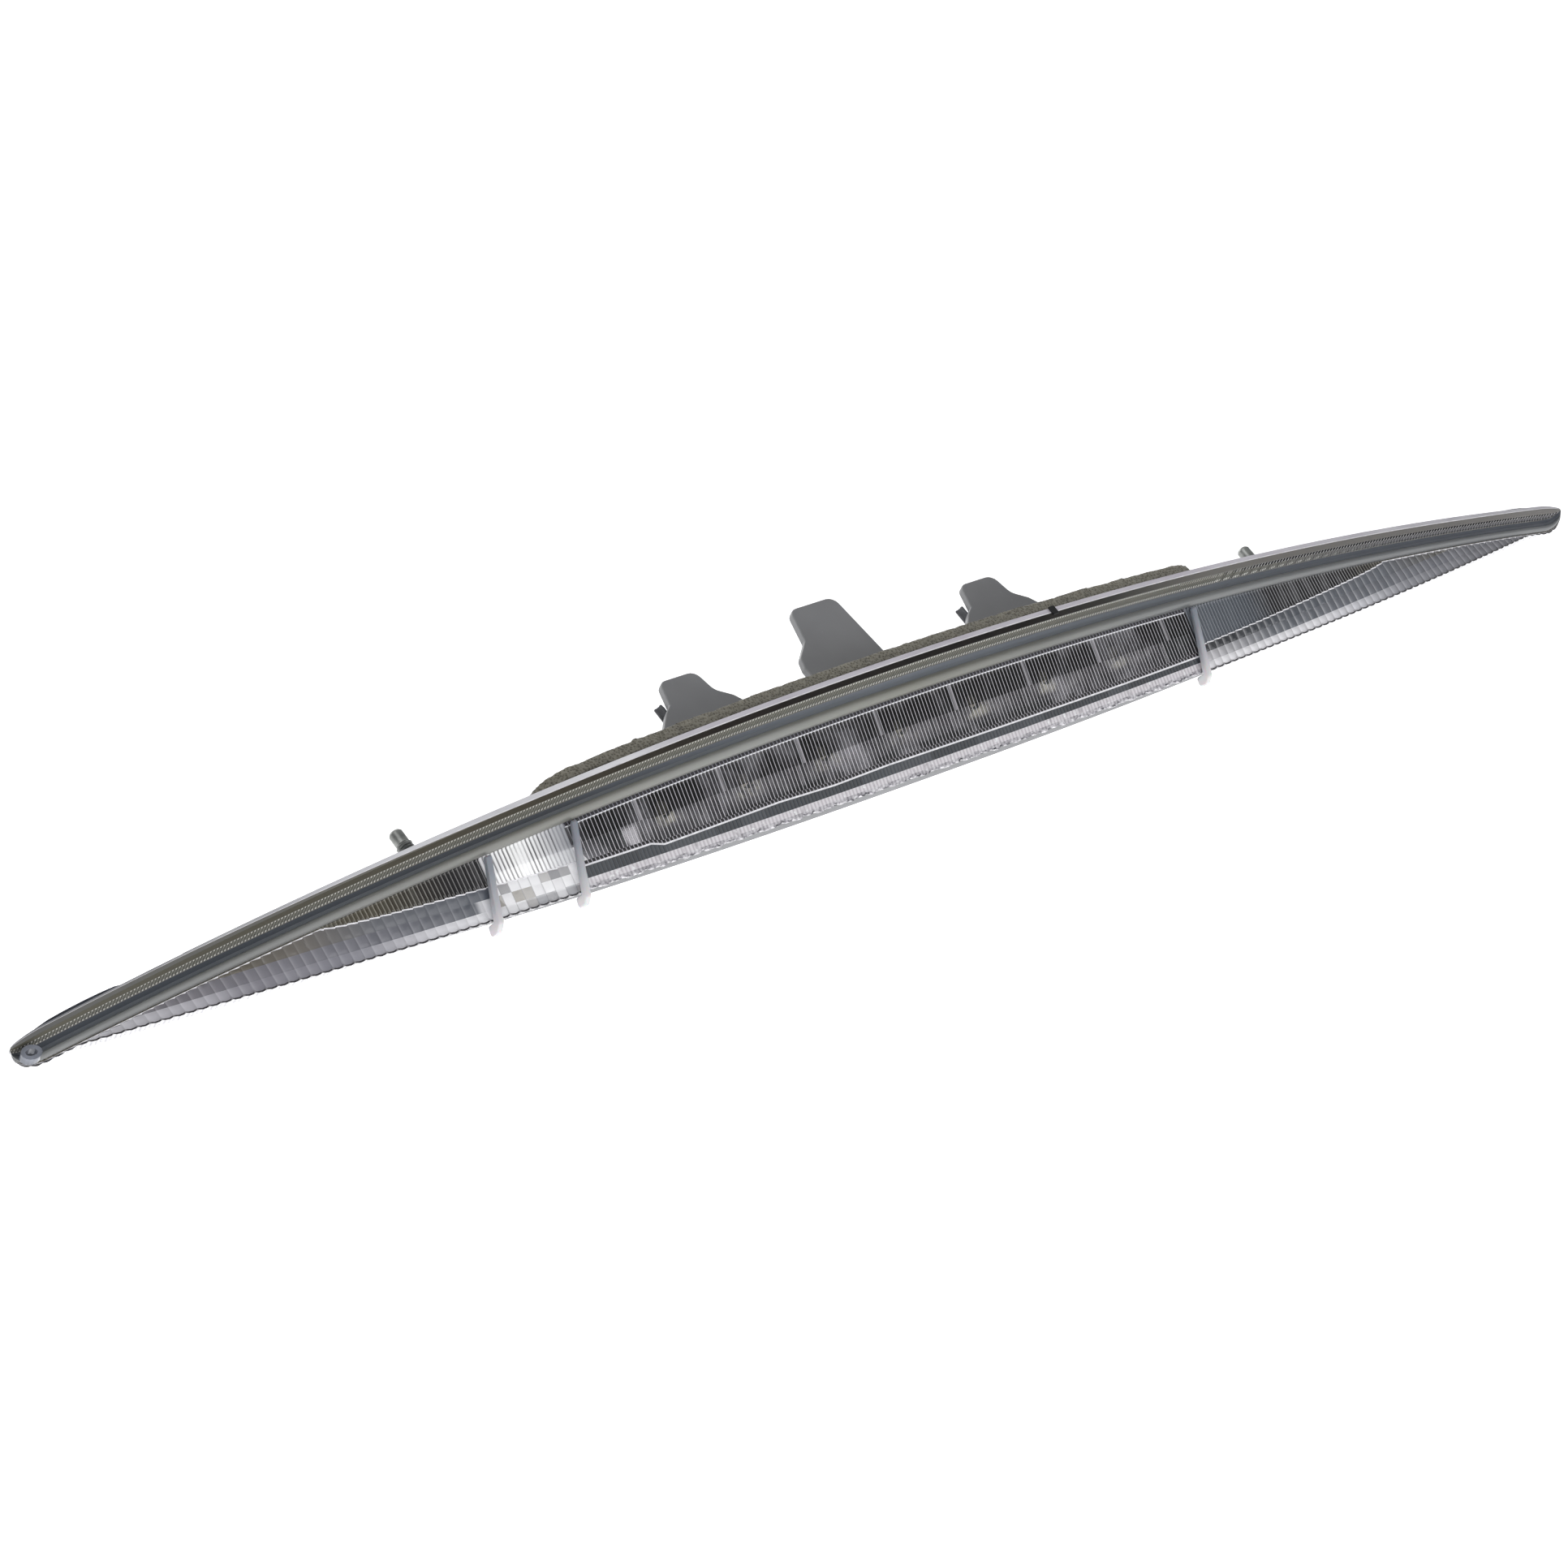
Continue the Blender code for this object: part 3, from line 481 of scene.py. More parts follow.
def wing_flutes_paint(name, stops):
    """Flutes over a dark trim, with a painted highlight line on each crest and painted highlight streaks; a
    stop is x in mm, the colour there and that of the crests.
    """
    p = Paint(name, Roughness=0.12, Coat_Weight=0.6)
    body, line = p.tones(stops), p.tones(stops, 2)
    crest = p.greys(p.phase(FLUTE), [(0.34, 0.0), (0.46, 1.0), (0.54, 1.0), (0.66, 0.0)])
    streak = p.noise(200.0, 3.0, (1.0, 0.2, 0.2))
    body = p.mix(p.times(p.greys(streak, [(0.5, 0.0), (0.7, 1.0)]), 0.25), body, line)
    return p.feed(Base_Color=p.mix(crest, body, line)).mat


def prism_paint(name, seed, contrast, bold, stops):
    """Pillow blocks: tones along the wing, one random step for each block, a painted highlight by one edge
    of each and painted shade across it.
    """
    p = Paint(name, Roughness=0.2, Coat_Weight=0.4, Coat_Roughness=0.12)
    body = p.mix(p.times(p.block_noise(BLOCK, seed), contrast), p.tones(stops), (206, 204, 210))
    turn, crest, flat = p.phase(BLOCK), 0.08, 0.3
    # Painted shade darkens each block from near its left edge to its right; glow is a painted highlight by
    # its left edge.
    shade = p.greys(turn, [(0.0, 0.2), (crest, 1.0), (flat, 0.92), (0.8, 0.62), (0.95, 0.45), (1.0, 0.2)])
    glow = p.greys(turn, [(crest * 0.4, 0.0), (crest, 1.0), (flat * 0.8, 0.3), (flat + 0.2, 0.0)])
    body = p.mix(p.times(glow, 0.6 * bold), body, (246, 245, 248))
    return p.feed(Base_Color=p.mix(bold, body, shade, "MULTIPLY")).bump(p.noise(300.0), 0.06, 0.05).mat


def clear_flutes_paint():
    """Flutes between the left fins, with daylight behind them."""
    p = Paint("clear_flutes", Roughness=0.08, Coat_Weight=0.5)
    reach = p.reach(p.x, -0.19, -0.155)
    body = p.ramp(reach, [(0.0, (240, 239, 242)), (0.3, (255, 255, 255)), (0.55, (250, 250, 251)),
                          (0.78, (196, 196, 200)), (1.0, (150, 152, 158))])
    line = p.ramp(reach, [(0.0, (140, 138, 142)), (0.4, (60, 60, 64)), (0.6, (50, 50, 54)),
                          (1.0, (110, 112, 118))])
    cut = p.greys(p.phase(FLUTE), [(0.0, 1.0), (0.14, 0.8), (0.3, 0.0), (0.8, 0.0), (0.9, 0.8), (1.0, 1.0)])
    wander = p.greys(p.noise(160.0, 3.0, (1.0, 0.15, 0.15)), [(0.4, 0.2), (0.6, 1.0)])
    glass = p.mix(cut, body, p.mix(wander, body, line))
    # Painted light: the glass is painted near white for the daylight seen through it, and glows faintly
    # with that colour.
    return p.feed(Base_Color=glass, Alpha=0.8, Emission_Color=glass, Emission_Strength=0.3).mat


def clear_block_paint(name, seed, dark):
    """Clear blocks between the left fins, a few of them darker."""
    p = Paint(name, Roughness=0.1, Coat_Weight=0.6)
    tint = p.ramp(p.block_noise(BLOCK, seed), [(0.0, dark), (0.3, (196, 193, 192)),
                                               (0.45, (236, 235, 238)), (1.0, (250, 250, 252))])
    rim = p.greys(p.phase(BLOCK), [(0.0, 1.0), (0.08, 0.0), (0.93, 0.0), (1.0, 1.0)])
    return p.feed(Base_Color=p.mix(p.times(rim, 0.5), tint, (120, 120, 126)), Alpha=0.85).mat


def inner_paint():
    p = Paint("lens_inside", Roughness=0.15, Specular_IOR_Level=0.4)
    return p.feed(Base_Color=worn(p, (200, 202, 206), 0.1, 80.0), Alpha=0.22).mat


def flange_top_paint():
    p = Paint("flange_top", Roughness=0.25, Coat_Weight=0.5)
    rib = p.ramp(p.phase(FLUTE * 2), [(0.0, (170, 170, 174)), (0.5, (204, 204, 208)),
                                      (1.0, (170, 170, 174))])
    return p.feed(Base_Color=p.mix(0.4, rib, worn(p, (176, 176, 180), 0.15, 70.0)), Alpha=0.8).mat


# Boldness is how strong each row's painted shade and painted highlight are.
PRISM_ROWS = (       # material, contrast between blocks, boldness, then x in mm and the tone there
    ("left_row_1", 0.05, 0.12, (-366, (60, 66, 76)), (-330, (92, 88, 84)), (-285, (104, 98, 86)),
     (-262, (112, 107, 100)), (-235, (112, 114, 120)), (-190, (92, 97, 106))),
    ("left_row_2", 0.12, 0.25, (-366, (70, 74, 84)), (-330, (128, 124, 130)), (-270, (124, 123, 132)),
     (-220, (112, 114, 122)), (-199, (86, 91, 100)), (-197, (226, 226, 230)), (-190, (240, 240, 243))),
    ("left_row_3", 0.2, 0.25, (-366, (190, 190, 196)), (-345, (226, 225, 230)), (-300, (196, 194, 202)),
     (-282, (138, 136, 146)), (-248, (140, 140, 150)), (-232, (196, 195, 202)), (-215, (236, 235, 240)),
     (-190, (246, 246, 249))),
    ("right_row_1", 0.05, 0.4, (139, (28, 31, 36)), (160, (40, 44, 50)), (200, (84, 89, 97)),
     (250, (104, 108, 116)), (290, (92, 88, 80)), (366, (96, 98, 100))),
    ("right_row_2", 0.12, 0.45, (139, (206, 204, 208)), (158, (168, 168, 172)), (180, (96, 101, 108)),
     (220, (100, 104, 112)), (280, (116, 118, 126)), (366, (112, 112, 116))),
    ("right_row_3", 0.12, 0.42, (139, (246, 245, 248)), (205, (244, 243, 247)), (228, (220, 220, 226)),
     (258, (150, 151, 158)), (300, (128, 129, 136)), (366, (124, 124, 130))),
)


def lens_paints():
    """Materials of the lens by band, in the order of its material slots."""
    dusk = (20, 20, 22)
    paints = {
        "flange_top": flange_top_paint(), "edge_strip": strip_paint(), "edge_line": strip_line_paint(),
        "flange_gap": gap_paint(), "flange_plain": band_paint(),
        "flange_dots": rib_paint("flange_dots", True), "flange_ribs": rib_paint("flange_ribs", False),
        "flange_bold": bold_paint(), "flange_step": step_paint(), "step_low": step_low_paint(),
        "flange_bead": bead_paint(), "checker": checker_paint(), "zigzag": zigzag_paint(),
        "window_upper": window_paint("window_upper", (3, 3, 4), (196, 195, 202), 0.88, 0.3),
        "window_lower": window_paint("window_lower", (18, 18, 22), (222, 220, 226), 0.5, 0.75),
        "cells": cells_paint(), "white_line": white_line_paint(), "slate": slate_paint(),
        "clear_strip": clear_strip_paint(), "clear_low": clear_low_paint(), "bottom": bottom_paint(),
        "scallop": scallop_paint(),
        "left_flutes": wing_flutes_paint("left_flutes", [
            (-260, (92, 88, 76), (110, 106, 94)), (-235, (84, 78, 64), (150, 146, 134)),
            (-215, (48, 44, 38), (140, 138, 132)), (-203, dusk, (120, 118, 118)),
            (-190, dusk, (150, 148, 150))]),
        "right_flutes": wing_flutes_paint("right_flutes", [
            (139, (96, 101, 109), (128, 132, 140)), (172, (78, 83, 91), (110, 115, 122)),
            (184, (16, 17, 20), (140, 140, 144)), (225, (6, 6, 8), (170, 169, 172)),
            (240, (26, 24, 22), (150, 147, 140)), (256, (84, 80, 70), (112, 108, 98))]),
    }
    for seed, (name, contrast, bold, *stops) in enumerate(PRISM_ROWS, 1):
        paints[name.replace("_row", "")] = prism_paint(name, seed, contrast, bold, stops)
    paints["bay_flutes"] = clear_flutes_paint()
    for band, seed, dark in ((1, 2, (96, 97, 104)), (2, 9, (150, 144, 134)), (3, 4, (186, 187, 192))):
        paints[f"bay_{band}"] = clear_block_paint(f"bay_row_{band}", seed, dark)
    paints["rim_clear"], paints["inside"] = rim_paint(), inner_paint()
    return paints


# ---- outer lens ---------------------------------------------------------------------------
def wave(x, pitch):
    """1 on the crest of each flute, 0 in the crease between."""
    return np.abs(np.sin(np.pi * x / pitch))


def make_lens():
    """The whole lens as one closed skin, swept along x through its rows of section points."""
    x = np.arange(-HALF_LENGTH, HALF_LENGTH + 0.01, FLUTE / 5)
    x[-1] = HALF_LENGTH
    ye, ze = edge(x)
    k = slim(x)
    w = FLANGE_W * k
    under = ze - FLANGE_T
    top, down, inward, length = face_frame(x)
    wing = (x > FINS[2]) | (x < FINS[1])
    bay = (x > FINS[0]) & (x < FINS[1])
    zero = np.zeros_like(x)

    spine = [np.stack(p, -1) for p in (
        (ye + w + FLANGE_BACK * k, ze), (ye, ze), (ye, under), (ye + w, under),
        (ye + w + 0.3, under - STEP_H),
        (ye + w - 0.9 * k, under - STEP_H - 1.2 * k), (ye + w - 0.7 * k, under - STEP_H - 2.7 * k),
        (ye + w + 0.6 * k, under - STEP_H - 3.6 * k))]
    rows, bands = [], []      # each row: (N, 2) points; bands[i] is between rows i and i + 1

    def put(points, band, heading=None, depth=None):
        if depth is not None:
            lean = heading / np.maximum(np.linalg.norm(heading, axis=-1, keepdims=True), 1e-9)
            outward = np.stack([lean[:, 1], -lean[:, 0]], -1)
            points = points - outward * depth[:, None]
        rows.append(points)
        bands.append(band)

    def run(i, fractions, names, depths=None):
        a, b = spine[i], spine[i + 1]
        for j, (fraction, name) in enumerate(zip(fractions, names)):
            put(a + (b - a) * fraction, name, b - a, depths[j] if depths else None)

    groove = 1 - wave(x, FLUTE)
    fine = 1 - np.where(x > BOLD_FROM, wave(x, BOLD_RIB), wave(x, RIB))
    right_ribs = np.clip((x - BOLD_FROM) / BOLD_OVER, 0, 1)
    run(0, (0.0, 0.35, 0.7), ("flange_top",) * 3)
    strip = np.interp(x, (-HALF_LENGTH, -300, -230, -170, 300, HALF_LENGTH),
                      (0.3, 0.35, 0.7, 0.98, 0.98, 0.6))[:, None]
    run(1, (0.0, 0.1 * strip, 0.8 * strip, 0.9 * strip, strip),
        ("edge_strip", "edge_strip", "edge_line", "edge_line", "flange_plain"))
    rib, deep = 0.32 * fine, (0.35 + 0.35 * right_ribs) * fine
    run(2, (0.0, 0.03, 0.36, 0.38, 0.41, 0.43, 0.5, 0.52, 0.6, 0.72, 0.82, 0.88, 0.94, 0.97),
        ("flange_gap", "flange_gap", "flange_gap", "flange_plain", "flange_dots", "flange_dots",
         "flange_mid", "flange_mid", "flange_ribs", "flange_ribs", "flange_low_dots", "flange_low_dots",
         "flange_plain", "flange_plain"),
        (zero, zero + 0.06, zero + 0.06, zero, zero, deep, deep, deep, rib, rib, rib, rib + 0.05,
         0.4 * fine, zero))
    run(3, (0.0, 0.3, 0.55, 0.8), ("flange_step", "flange_step", "step_low", "step_low"),
        (zero, zero + 0.15, zero + 0.14, zero + 0.05))
    bead = (spine[4], spine[5], spine[6], spine[7], top)
    for i in range(4):
        a, b = bead[i], bead[i + 1]
        before = bead[i - 1] if i else a
        after = bead[i + 2] if i < 3 else b
        for f in (0.0, 0.5):
            curve = 0.5 * (2 * a + (b - before) * f + (2 * before - 5 * a + 4 * b - after) * f**2
                           + (3 * a - before - 3 * b + after) * f**3)
            put(curve, "flange_bead")

    # distances down the face: flutes end at f, then the strip or the prism rows
    size = np.abs(x)
    third = np.interp(size, (147, 205, 255), (3.5, 3.9, 4.4))
    f_wing = FLUTES_DOWN * (np.maximum(FLUTES_END - size, 0) / FLUTES_RUN)**0.75
    f_wing = np.minimum(f_wing, length - 3 * third)
    step = 0.35 * (np.mod(x / BLOCK, 1.0) - 0.5)
    wander = np.interp(x, (-155, -126, -121, -70, -45, -20, 20, 60, 100, 139),
                       (0, 0, 1.5, 0.5, 1.2, 0.7, 1.1, 1.4, 1.8, 2.0))
    f = np.where(wing, np.maximum(f_wing, 0.0) + step, length - 9.9 + wander)
    lobes = np.where(wing, 0.4 * (1 - wave(x, BLOCK)), 0.4 * (1 - wave(x, FLUTE * 1.5))
                     + 0.8 * (0.5 + 0.5 * np.sin(x * 0.9) * np.sin(x * 0.37)))
    tiny = 0.25 * (np.mod(x / FLUTE, 1.0) - 0.5)
    end = length - lobes
    marks = [zero, np.where(wing, 0.2, 1.3), np.where(wing, 0.4, 1.72 + tiny)]
    middle = np.where(wing, f * 0.5, 1.75 + (f - 1.75) * 0.5)
    s1 = np.where(wing, length - 2 * third, length - 4.1)
    s2 = np.where(wing, length - third, length - 2.0)
    c1, c2 = f + np.where(wing, 0.25, 1.2), f + np.where(wing, 0.6, 1.8)
    plan = [(marks[0], "checker"), (marks[1], "zigzag"), (marks[2], "window_upper")]
    plan += [(marks[2] + (middle - marks[2]) * q, "window_upper") for q in (0.2, 0.6)]
    plan += [(middle, "window_lower")]
    plan += [(middle + (f - middle) * q, "window_lower") for q in (0.35, 0.7)]
    plan += [(f, "cells"), (c1, "white_line")]
    plan += [(c2 + (s1 - c2) * q, "row_1") for q in (0, 0.12, 0.5, 0.88)]
    plan += [(s1 + (s2 - s1) * q, "row_2") for q in (0, 0.12, 0.5, 0.88)]
    plan += [(s2 + (end - 0.6 - s2) * q, "row_3") for q in (0, 0.12, 0.5, 0.88)]
    plan += [(end - 0.6, "bottom"), (end, "rim")]
    spots = np.maximum.accumulate(np.stack([a for a, _ in plan]), axis=0)
    spots = np.minimum(spots, end) + np.arange(len(plan))[:, None] * 0.004
    blocks = np.floor(x / BLOCK).astype(int)
    rng = np.random.default_rng(7)
    tilts = rng.uniform(0.0, 0.2, (3, 400))
    across = 2 * np.mod(x / BLOCK, 1.0) - 1
    swell = np.where(x < 0, 0.2, 0.32)
    pillow = {}
    for r in range(3):
        lean = tilts[r, blocks + 200] * (across * 0.5 + 0.5)
        pillow[f"row_{r + 1}"] = [
            np.where(wing, 0.1 + swell * (1 - (1 - across**2) * q) + lean, 0.16 * groove + 0.05)
            for q in (0.0, 0.55, 1.0, 0.55)]
    flute_depth = np.where(wing & (f_wing < 0.5), 0.0, FLUTE_DEPTH) * groove
    seen = {}
    for (a, name), spot in zip(plan, spots):
        n = seen.get(name, 0)
        seen[name] = n + 1
        if name in pillow:
            depth = pillow[name][n]
        elif name in ("window_upper", "window_lower"):
            depth = flute_depth + 0.05
        elif name in ("checker", "cells"):
            depth = FLUTE_DEPTH * groove
        elif name in ("zigzag", "white_line"):
            depth = zero
        else:
            depth = 0.12 * groove
        put(top + down * spot[:, None], name, down, depth)
    far = spots[-1]
    put(top + down * (far - 0.1)[:, None] + inward * LENS_WALL, "inside")
    put(top + down * (length * 0.5)[:, None] + inward * LENS_WALL, "inside")
    put(top + down * np.minimum(1.0, 0.3 * length)[:, None] + inward * LENS_WALL, "inside")
    put(np.stack((ye + w + FLANGE_BACK * k, under - 0.6), -1), "inside")

    grid = np.stack([shrink_tip(x, r) for r in rows])           # rows, columns, 2
    m, n = grid.shape[:2]
    xs = np.broadcast_to(x, (m, n))
    verts = np.stack(to_row(xs, grid[..., 0], grid[..., 1]), -1).reshape(-1, 3)

    paints = lens_paints()
    index = {name: i for i, name in enumerate(paints)}
    centre_names = {"row_1": "slate", "row_2": "clear_strip", "row_3": "clear_low", "rim": "bottom"}
    flange_names = {"flange_mid": "flange_ribs", "flange_low_dots": "flange_dots"}

    def named(band, side):
        """The material of a band in one zone of the lens."""
        if side == "right" and band in ("flange_dots", "flange_mid"):
            return "flange_bold"
        band = flange_names.get(band, band)
        if side == "centre":
            return centre_names.get(band, band)
        if band in ("checker", "zigzag", "window_upper", "window_lower", "cells"):
            return side + "_flutes"
        if band.startswith("row_"):
            return side + "_" + band[-1]
        return {"bottom": "scallop", "rim": "rim_clear"}.get(band, band)

    zones = ("left", "bay", "centre", "right")
    column = np.where(x < FINS[0], 0, np.where(bay, 1, np.where(x > FINS[2], 3, 2)))[:-1]
    lookup = np.array([[index[named(band, zone)] for band in bands] for zone in zones])
    row_next = (np.arange(m) + 1) % m
    a = (np.arange(m)[:, None] * n + np.arange(n - 1)).reshape(-1)
    d = (row_next[:, None] * n + np.arange(n - 1)).reshape(-1)
    faces = np.stack([a, d, d + 1, a + 1], -1).tolist()
    indices = lookup[column[None, :], np.arange(m)[:, None]].reshape(-1).tolist()
    faces += [[i * n for i in range(m)], [i * n + n - 1 for i in reversed(range(m))]]
    indices += [index["flange_bead"]] * 2
    lens = mesh_piece("lens_skin", verts.tolist(), faces, paints.values(), indices)
    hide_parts("outer_lens")


# ---- other pieces -------------------------------------------------------------------------
def soften(node, width, mat, segments=3, angle=30.0):
    """A copy of a CAD node with edges rounded by width in mm, shown in its place."""
    obj = bpy.data.objects.new(node + "_moulded", nodes[node].data.copy())
    bpy.context.scene.collection.objects.link(obj)
    obj.data.materials.clear()
    obj.data.materials.append(mat)
    bm = bmesh.new()
    bm.from_mesh(obj.data)
    bmesh.ops.remove_doubles(bm, verts=bm.verts, dist=0.00002)
    bmesh.ops.dissolve_limit(bm, angle_limit=math.radians(2), verts=bm.verts, edges=bm.edges)
    bm.to_mesh(obj.data)
    bm.free()
    bevel = obj.modifiers.new("rounding", "BEVEL")
    bevel.width = width / 1000
    bevel.segments = segments
    bevel.limit_method = "ANGLE"
    bevel.angle_limit = math.radians(angle)
    obj.data.shade_smooth()
    normals = obj.modifiers.new("normals", "WEIGHTED_NORMAL")
    normals.keep_sharp = True
    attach(obj, "root")
    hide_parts(node)


def grey_plastic():
    p = Paint("tab_grey", Roughness=0.42, Coat_Weight=0.15, Coat_Roughness=0.3)
    base = worn(p, (116, 117, 120), 0.09, 28.0)
    edge_light = p.greys(p.add("ShaderNodeNewGeometry").outputs["Pointiness"], [(0.5, 0.0), (0.56, 1.0)])
    fleck = p.greys(p.noise(900.0, 2.0), [(0.7, 0.0), (0.78, 1.0)])
    base = p.mix(p.times(edge_light, 0.5), base, (158, 157, 156))
    base = p.mix(p.times(fleck, 0.25), base, (170, 170, 172))
    rough = p.greys(p.noise(40.0, 4.0), [(0.3, 0.36), (0.7, 0.5)])
    return p.feed(Base_Color=base, Roughness=rough).bump(p.noise(1400.0, 2.0), 0.12, 0.04).mat


def housing_grey():
    p = Paint("housing_grey", Roughness=0.48)
    base = worn(p, (112, 113, 116), 0.08, 25.0)
    scuff = p.greys(p.noise(60.0, 5.0, (0.2, 1, 1)), [(0.62, 0.0), (0.75, 1.0)])
    base = p.mix(p.times(scuff, 0.3), base, (140, 140, 142))
    return p.feed(Base_Color=base).bump(p.noise(1300.0, 2.0), 0.15, 0.05).mat


def frosted():
    p = Paint("frosted_fin", Roughness=0.38, Specular_IOR_Level=0.5, Subsurface_Weight=0.25,
              Subsurface_Scale=0.003)
    # Painted light: the fin pales from blue-grey to near white down the lens face.
    base = p.ramp(p.reach(p.down_face(), 0.0, 0.03), [(0.0, (134, 141, 152)), (0.35, (152, 158, 168)),
                                                      (0.7, (196, 199, 205)), (1.0, (238, 238, 240))])
    # Painted shade: the fin darkens where its surface turns edge-on to the view.
    rim = p.greys(p.add("ShaderNodeLayerWeight", {0: 0.35}).outputs["Facing"], [(0.55, 0.0), (0.95, 1.0)])
    base = p.mix(p.times(rim, 0.5), base, (96, 100, 106))
    return p.feed(Base_Color=base, Alpha=0.9).bump(p.noise(1000.0), 0.1, 0.03).mat


def reflector_chrome():
    """Metallised cells with painted reflections: dark where they look into the lamp, bright low down and on
    the cell walls, with painted warm LED glints that also glow faintly.
    """
    p = Paint("reflector_metal", Metallic=0.9, Roughness=0.16)
    fall = p.reach(p.down_face(), 0.001, 0.018)
    wave_x = p.noise(150.0, 4.0, (1.0, 0.12, 0.12))
    shift = p.maths("ADD", fall, p.times(p.maths("SUBTRACT", wave_x, 0.5), 0.7))
    # Painted reflection: dark near the top of each cell, bright lower down, waving along the lamp.
    body = p.ramp(shift, [(0.0, (10, 10, 12)), (0.34, (24, 24, 28)), (0.48, (120, 118, 124)),
                          (0.62, (200, 197, 203)), (0.8, (232, 229, 233)), (1.0, (140, 138, 144))])
    cell = p.phase(CELL, 0.5)
    rib = p.greys(p.phase(2.4), [(0.0, 0.0), (0.5, 1.0), (1.0, 0.0)])
    body = p.mix(p.times(rib, 0.3), body, (64, 62, 68))
    # Painted LED glint low in each cell.
    spot_x = p.greys(cell, [(0.3, 0.0), (0.42, 1.0), (0.56, 1.0), (0.68, 0.0)])
    spot_y = p.greys(fall, [(0.55, 0.0), (0.66, 1.0), (0.8, 1.0), (0.9, 0.0)])
    spot = p.times(spot_x, spot_y)
    spot = p.times(spot, p.greys(p.noise(300.0, 3.0), [(0.42, 0.0), (0.58, 1.0)]))
    # Painted highlight: a bright wall at each cell's edge.
    wall = p.greys(cell, [(0.0, 1.0), (0.03, 1.0), (0.06, 0.0), (0.94, 0.0), (0.97, 1.0), (1.0, 1.0)])
    body = p.mix(wall, body, (226, 223, 228))
    p.feed(Base_Color=p.mix(spot, body, (255, 252, 240)))
    # The painted glint glows faintly, though the reflector is no lamp.
    p.feed(Emission_Color=tone(255, 250, 232), Emission_Strength=p.times(spot, 0.3))
    return p.bump(p.maths("ADD", rib, wave_x), 0.5, 0.3).mat


def led_resin():
    p = Paint("led_dome", Roughness=0.08, Coat_Weight=0.8, Emission_Strength=0.12)
    p.feed(Emission_Color=tone(255, 248, 226))
    return p.feed(Base_Color=worn(p, (246, 240, 218), 0.06, 400.0)).mat


def board_green():
    p = Paint("board_green", Roughness=0.35, Coat_Weight=0.4)
    tracks = p.add("ShaderNodeTexBrick", {"Vector": p.place, "Scale": 160.0}).outputs["Fac"]
    trace = p.greys(tracks, [(0.4, 0.0), (0.6, 1.0)])
    return p.feed(Base_Color=p.mix(trace, (22, 74, 40), (60, 118, 70))).bump(trace, 0.3, 0.04).mat


def steel():
    """Grey zinc, brushed round, dark in the thread roots."""
    p = Paint("stud_zinc", Metallic=0.75, Roughness=0.36)
    root = p.greys(p.add("ShaderNodeNewGeometry").outputs["Pointiness"], [(0.44, 0.0), (0.53, 1.0)])
    base = p.mix(root, (30, 30, 30), worn(p, (158, 160, 157), 0.15, 220.0))
    return p.feed(Base_Color=base).bump(p.noise(900.0, 3.0), 0.2, 0.04).mat


def plain_steel():
    p = Paint("screw_zinc", Metallic=0.8, Roughness=0.35)
    return p.feed(Base_Color=worn(p, (150, 151, 148), 0.15, 300.0)).bump(p.noise(900.0), 0.15, 0.03).mat


def brass():
    p = Paint("terminal_brass", Metallic=0.9, Roughness=0.3)
    p.feed(Base_Color=worn(p, (198, 168, 104), 0.12, 300.0))
    return p.bump(p.noise(700.0, 3.0, (1, 1, 0.2)), 0.15, 0.03).mat


def black_plastic(name="black_moulding", colour=(34, 34, 36)):
    p = Paint(name, Roughness=0.42)
    rough = p.greys(p.noise(90.0, 4.0), [(0.3, 0.36), (0.7, 0.5)])
    p.feed(Base_Color=worn(p, colour, 0.25, 80.0), Roughness=rough)
    return p.bump(p.noise(1400.0), 0.2, 0.05).mat


def rubber(name, colour):
    p = Paint(name, Roughness=0.72)
    return p.feed(Base_Color=worn(p, colour, 0.3, 120.0)).bump(p.noise(800.0, 4.0), 0.35, 0.08).mat


def foam_paint():
    """Olive open-cell foam: dark pores of painted shade, bright cell walls and painted glints."""
    p = Paint("olive_foam", Roughness=0.92, Sheen_Weight=0.25)
    pores, fine = p.speckle(1150.0), p.noise(1500.0, 4.0)
    cell = p.ramp(pores, [(0.0, (34, 32, 27)), (0.2, (74, 71, 61)), (0.38, (124, 120, 107)),
                          (0.7, (158, 154, 141))])
    base = p.mix(0.35, cell, worn(p, (124, 120, 108), 0.2, 200.0))
    glint = p.greys(fine, [(0.66, 0.0), (0.74, 1.0)])
    base = p.mix(p.times(glint, 0.6), base, (196, 193, 180))
    return p.feed(Base_Color=base).bump(p.maths("ADD", pores, fine), 0.9, 0.5).mat


def felt_paint():
    p = Paint("dark_felt", Roughness=0.95, Sheen_Weight=0.3)
    return p.feed(Base_Color=worn(p, (58, 62, 70), 0.3, 300.0)).bump(p.noise(1600.0, 4.0), 0.6, 0.15).mat


def clear_hook_paint():
    p = Paint("hook_clear", Roughness=0.15, Coat_Weight=0.6)
    return p.feed(Base_Color=worn(p, (122, 126, 136), 0.15, 200.0), Alpha=0.95).mat


def sealant_paint():
    p = Paint("sealant_bead", Roughness=0.55)
    return p.feed(Base_Color=worn(p, (92, 94, 98), 0.15, 150.0)).bump(p.noise(300.0), 0.3, 0.2).mat


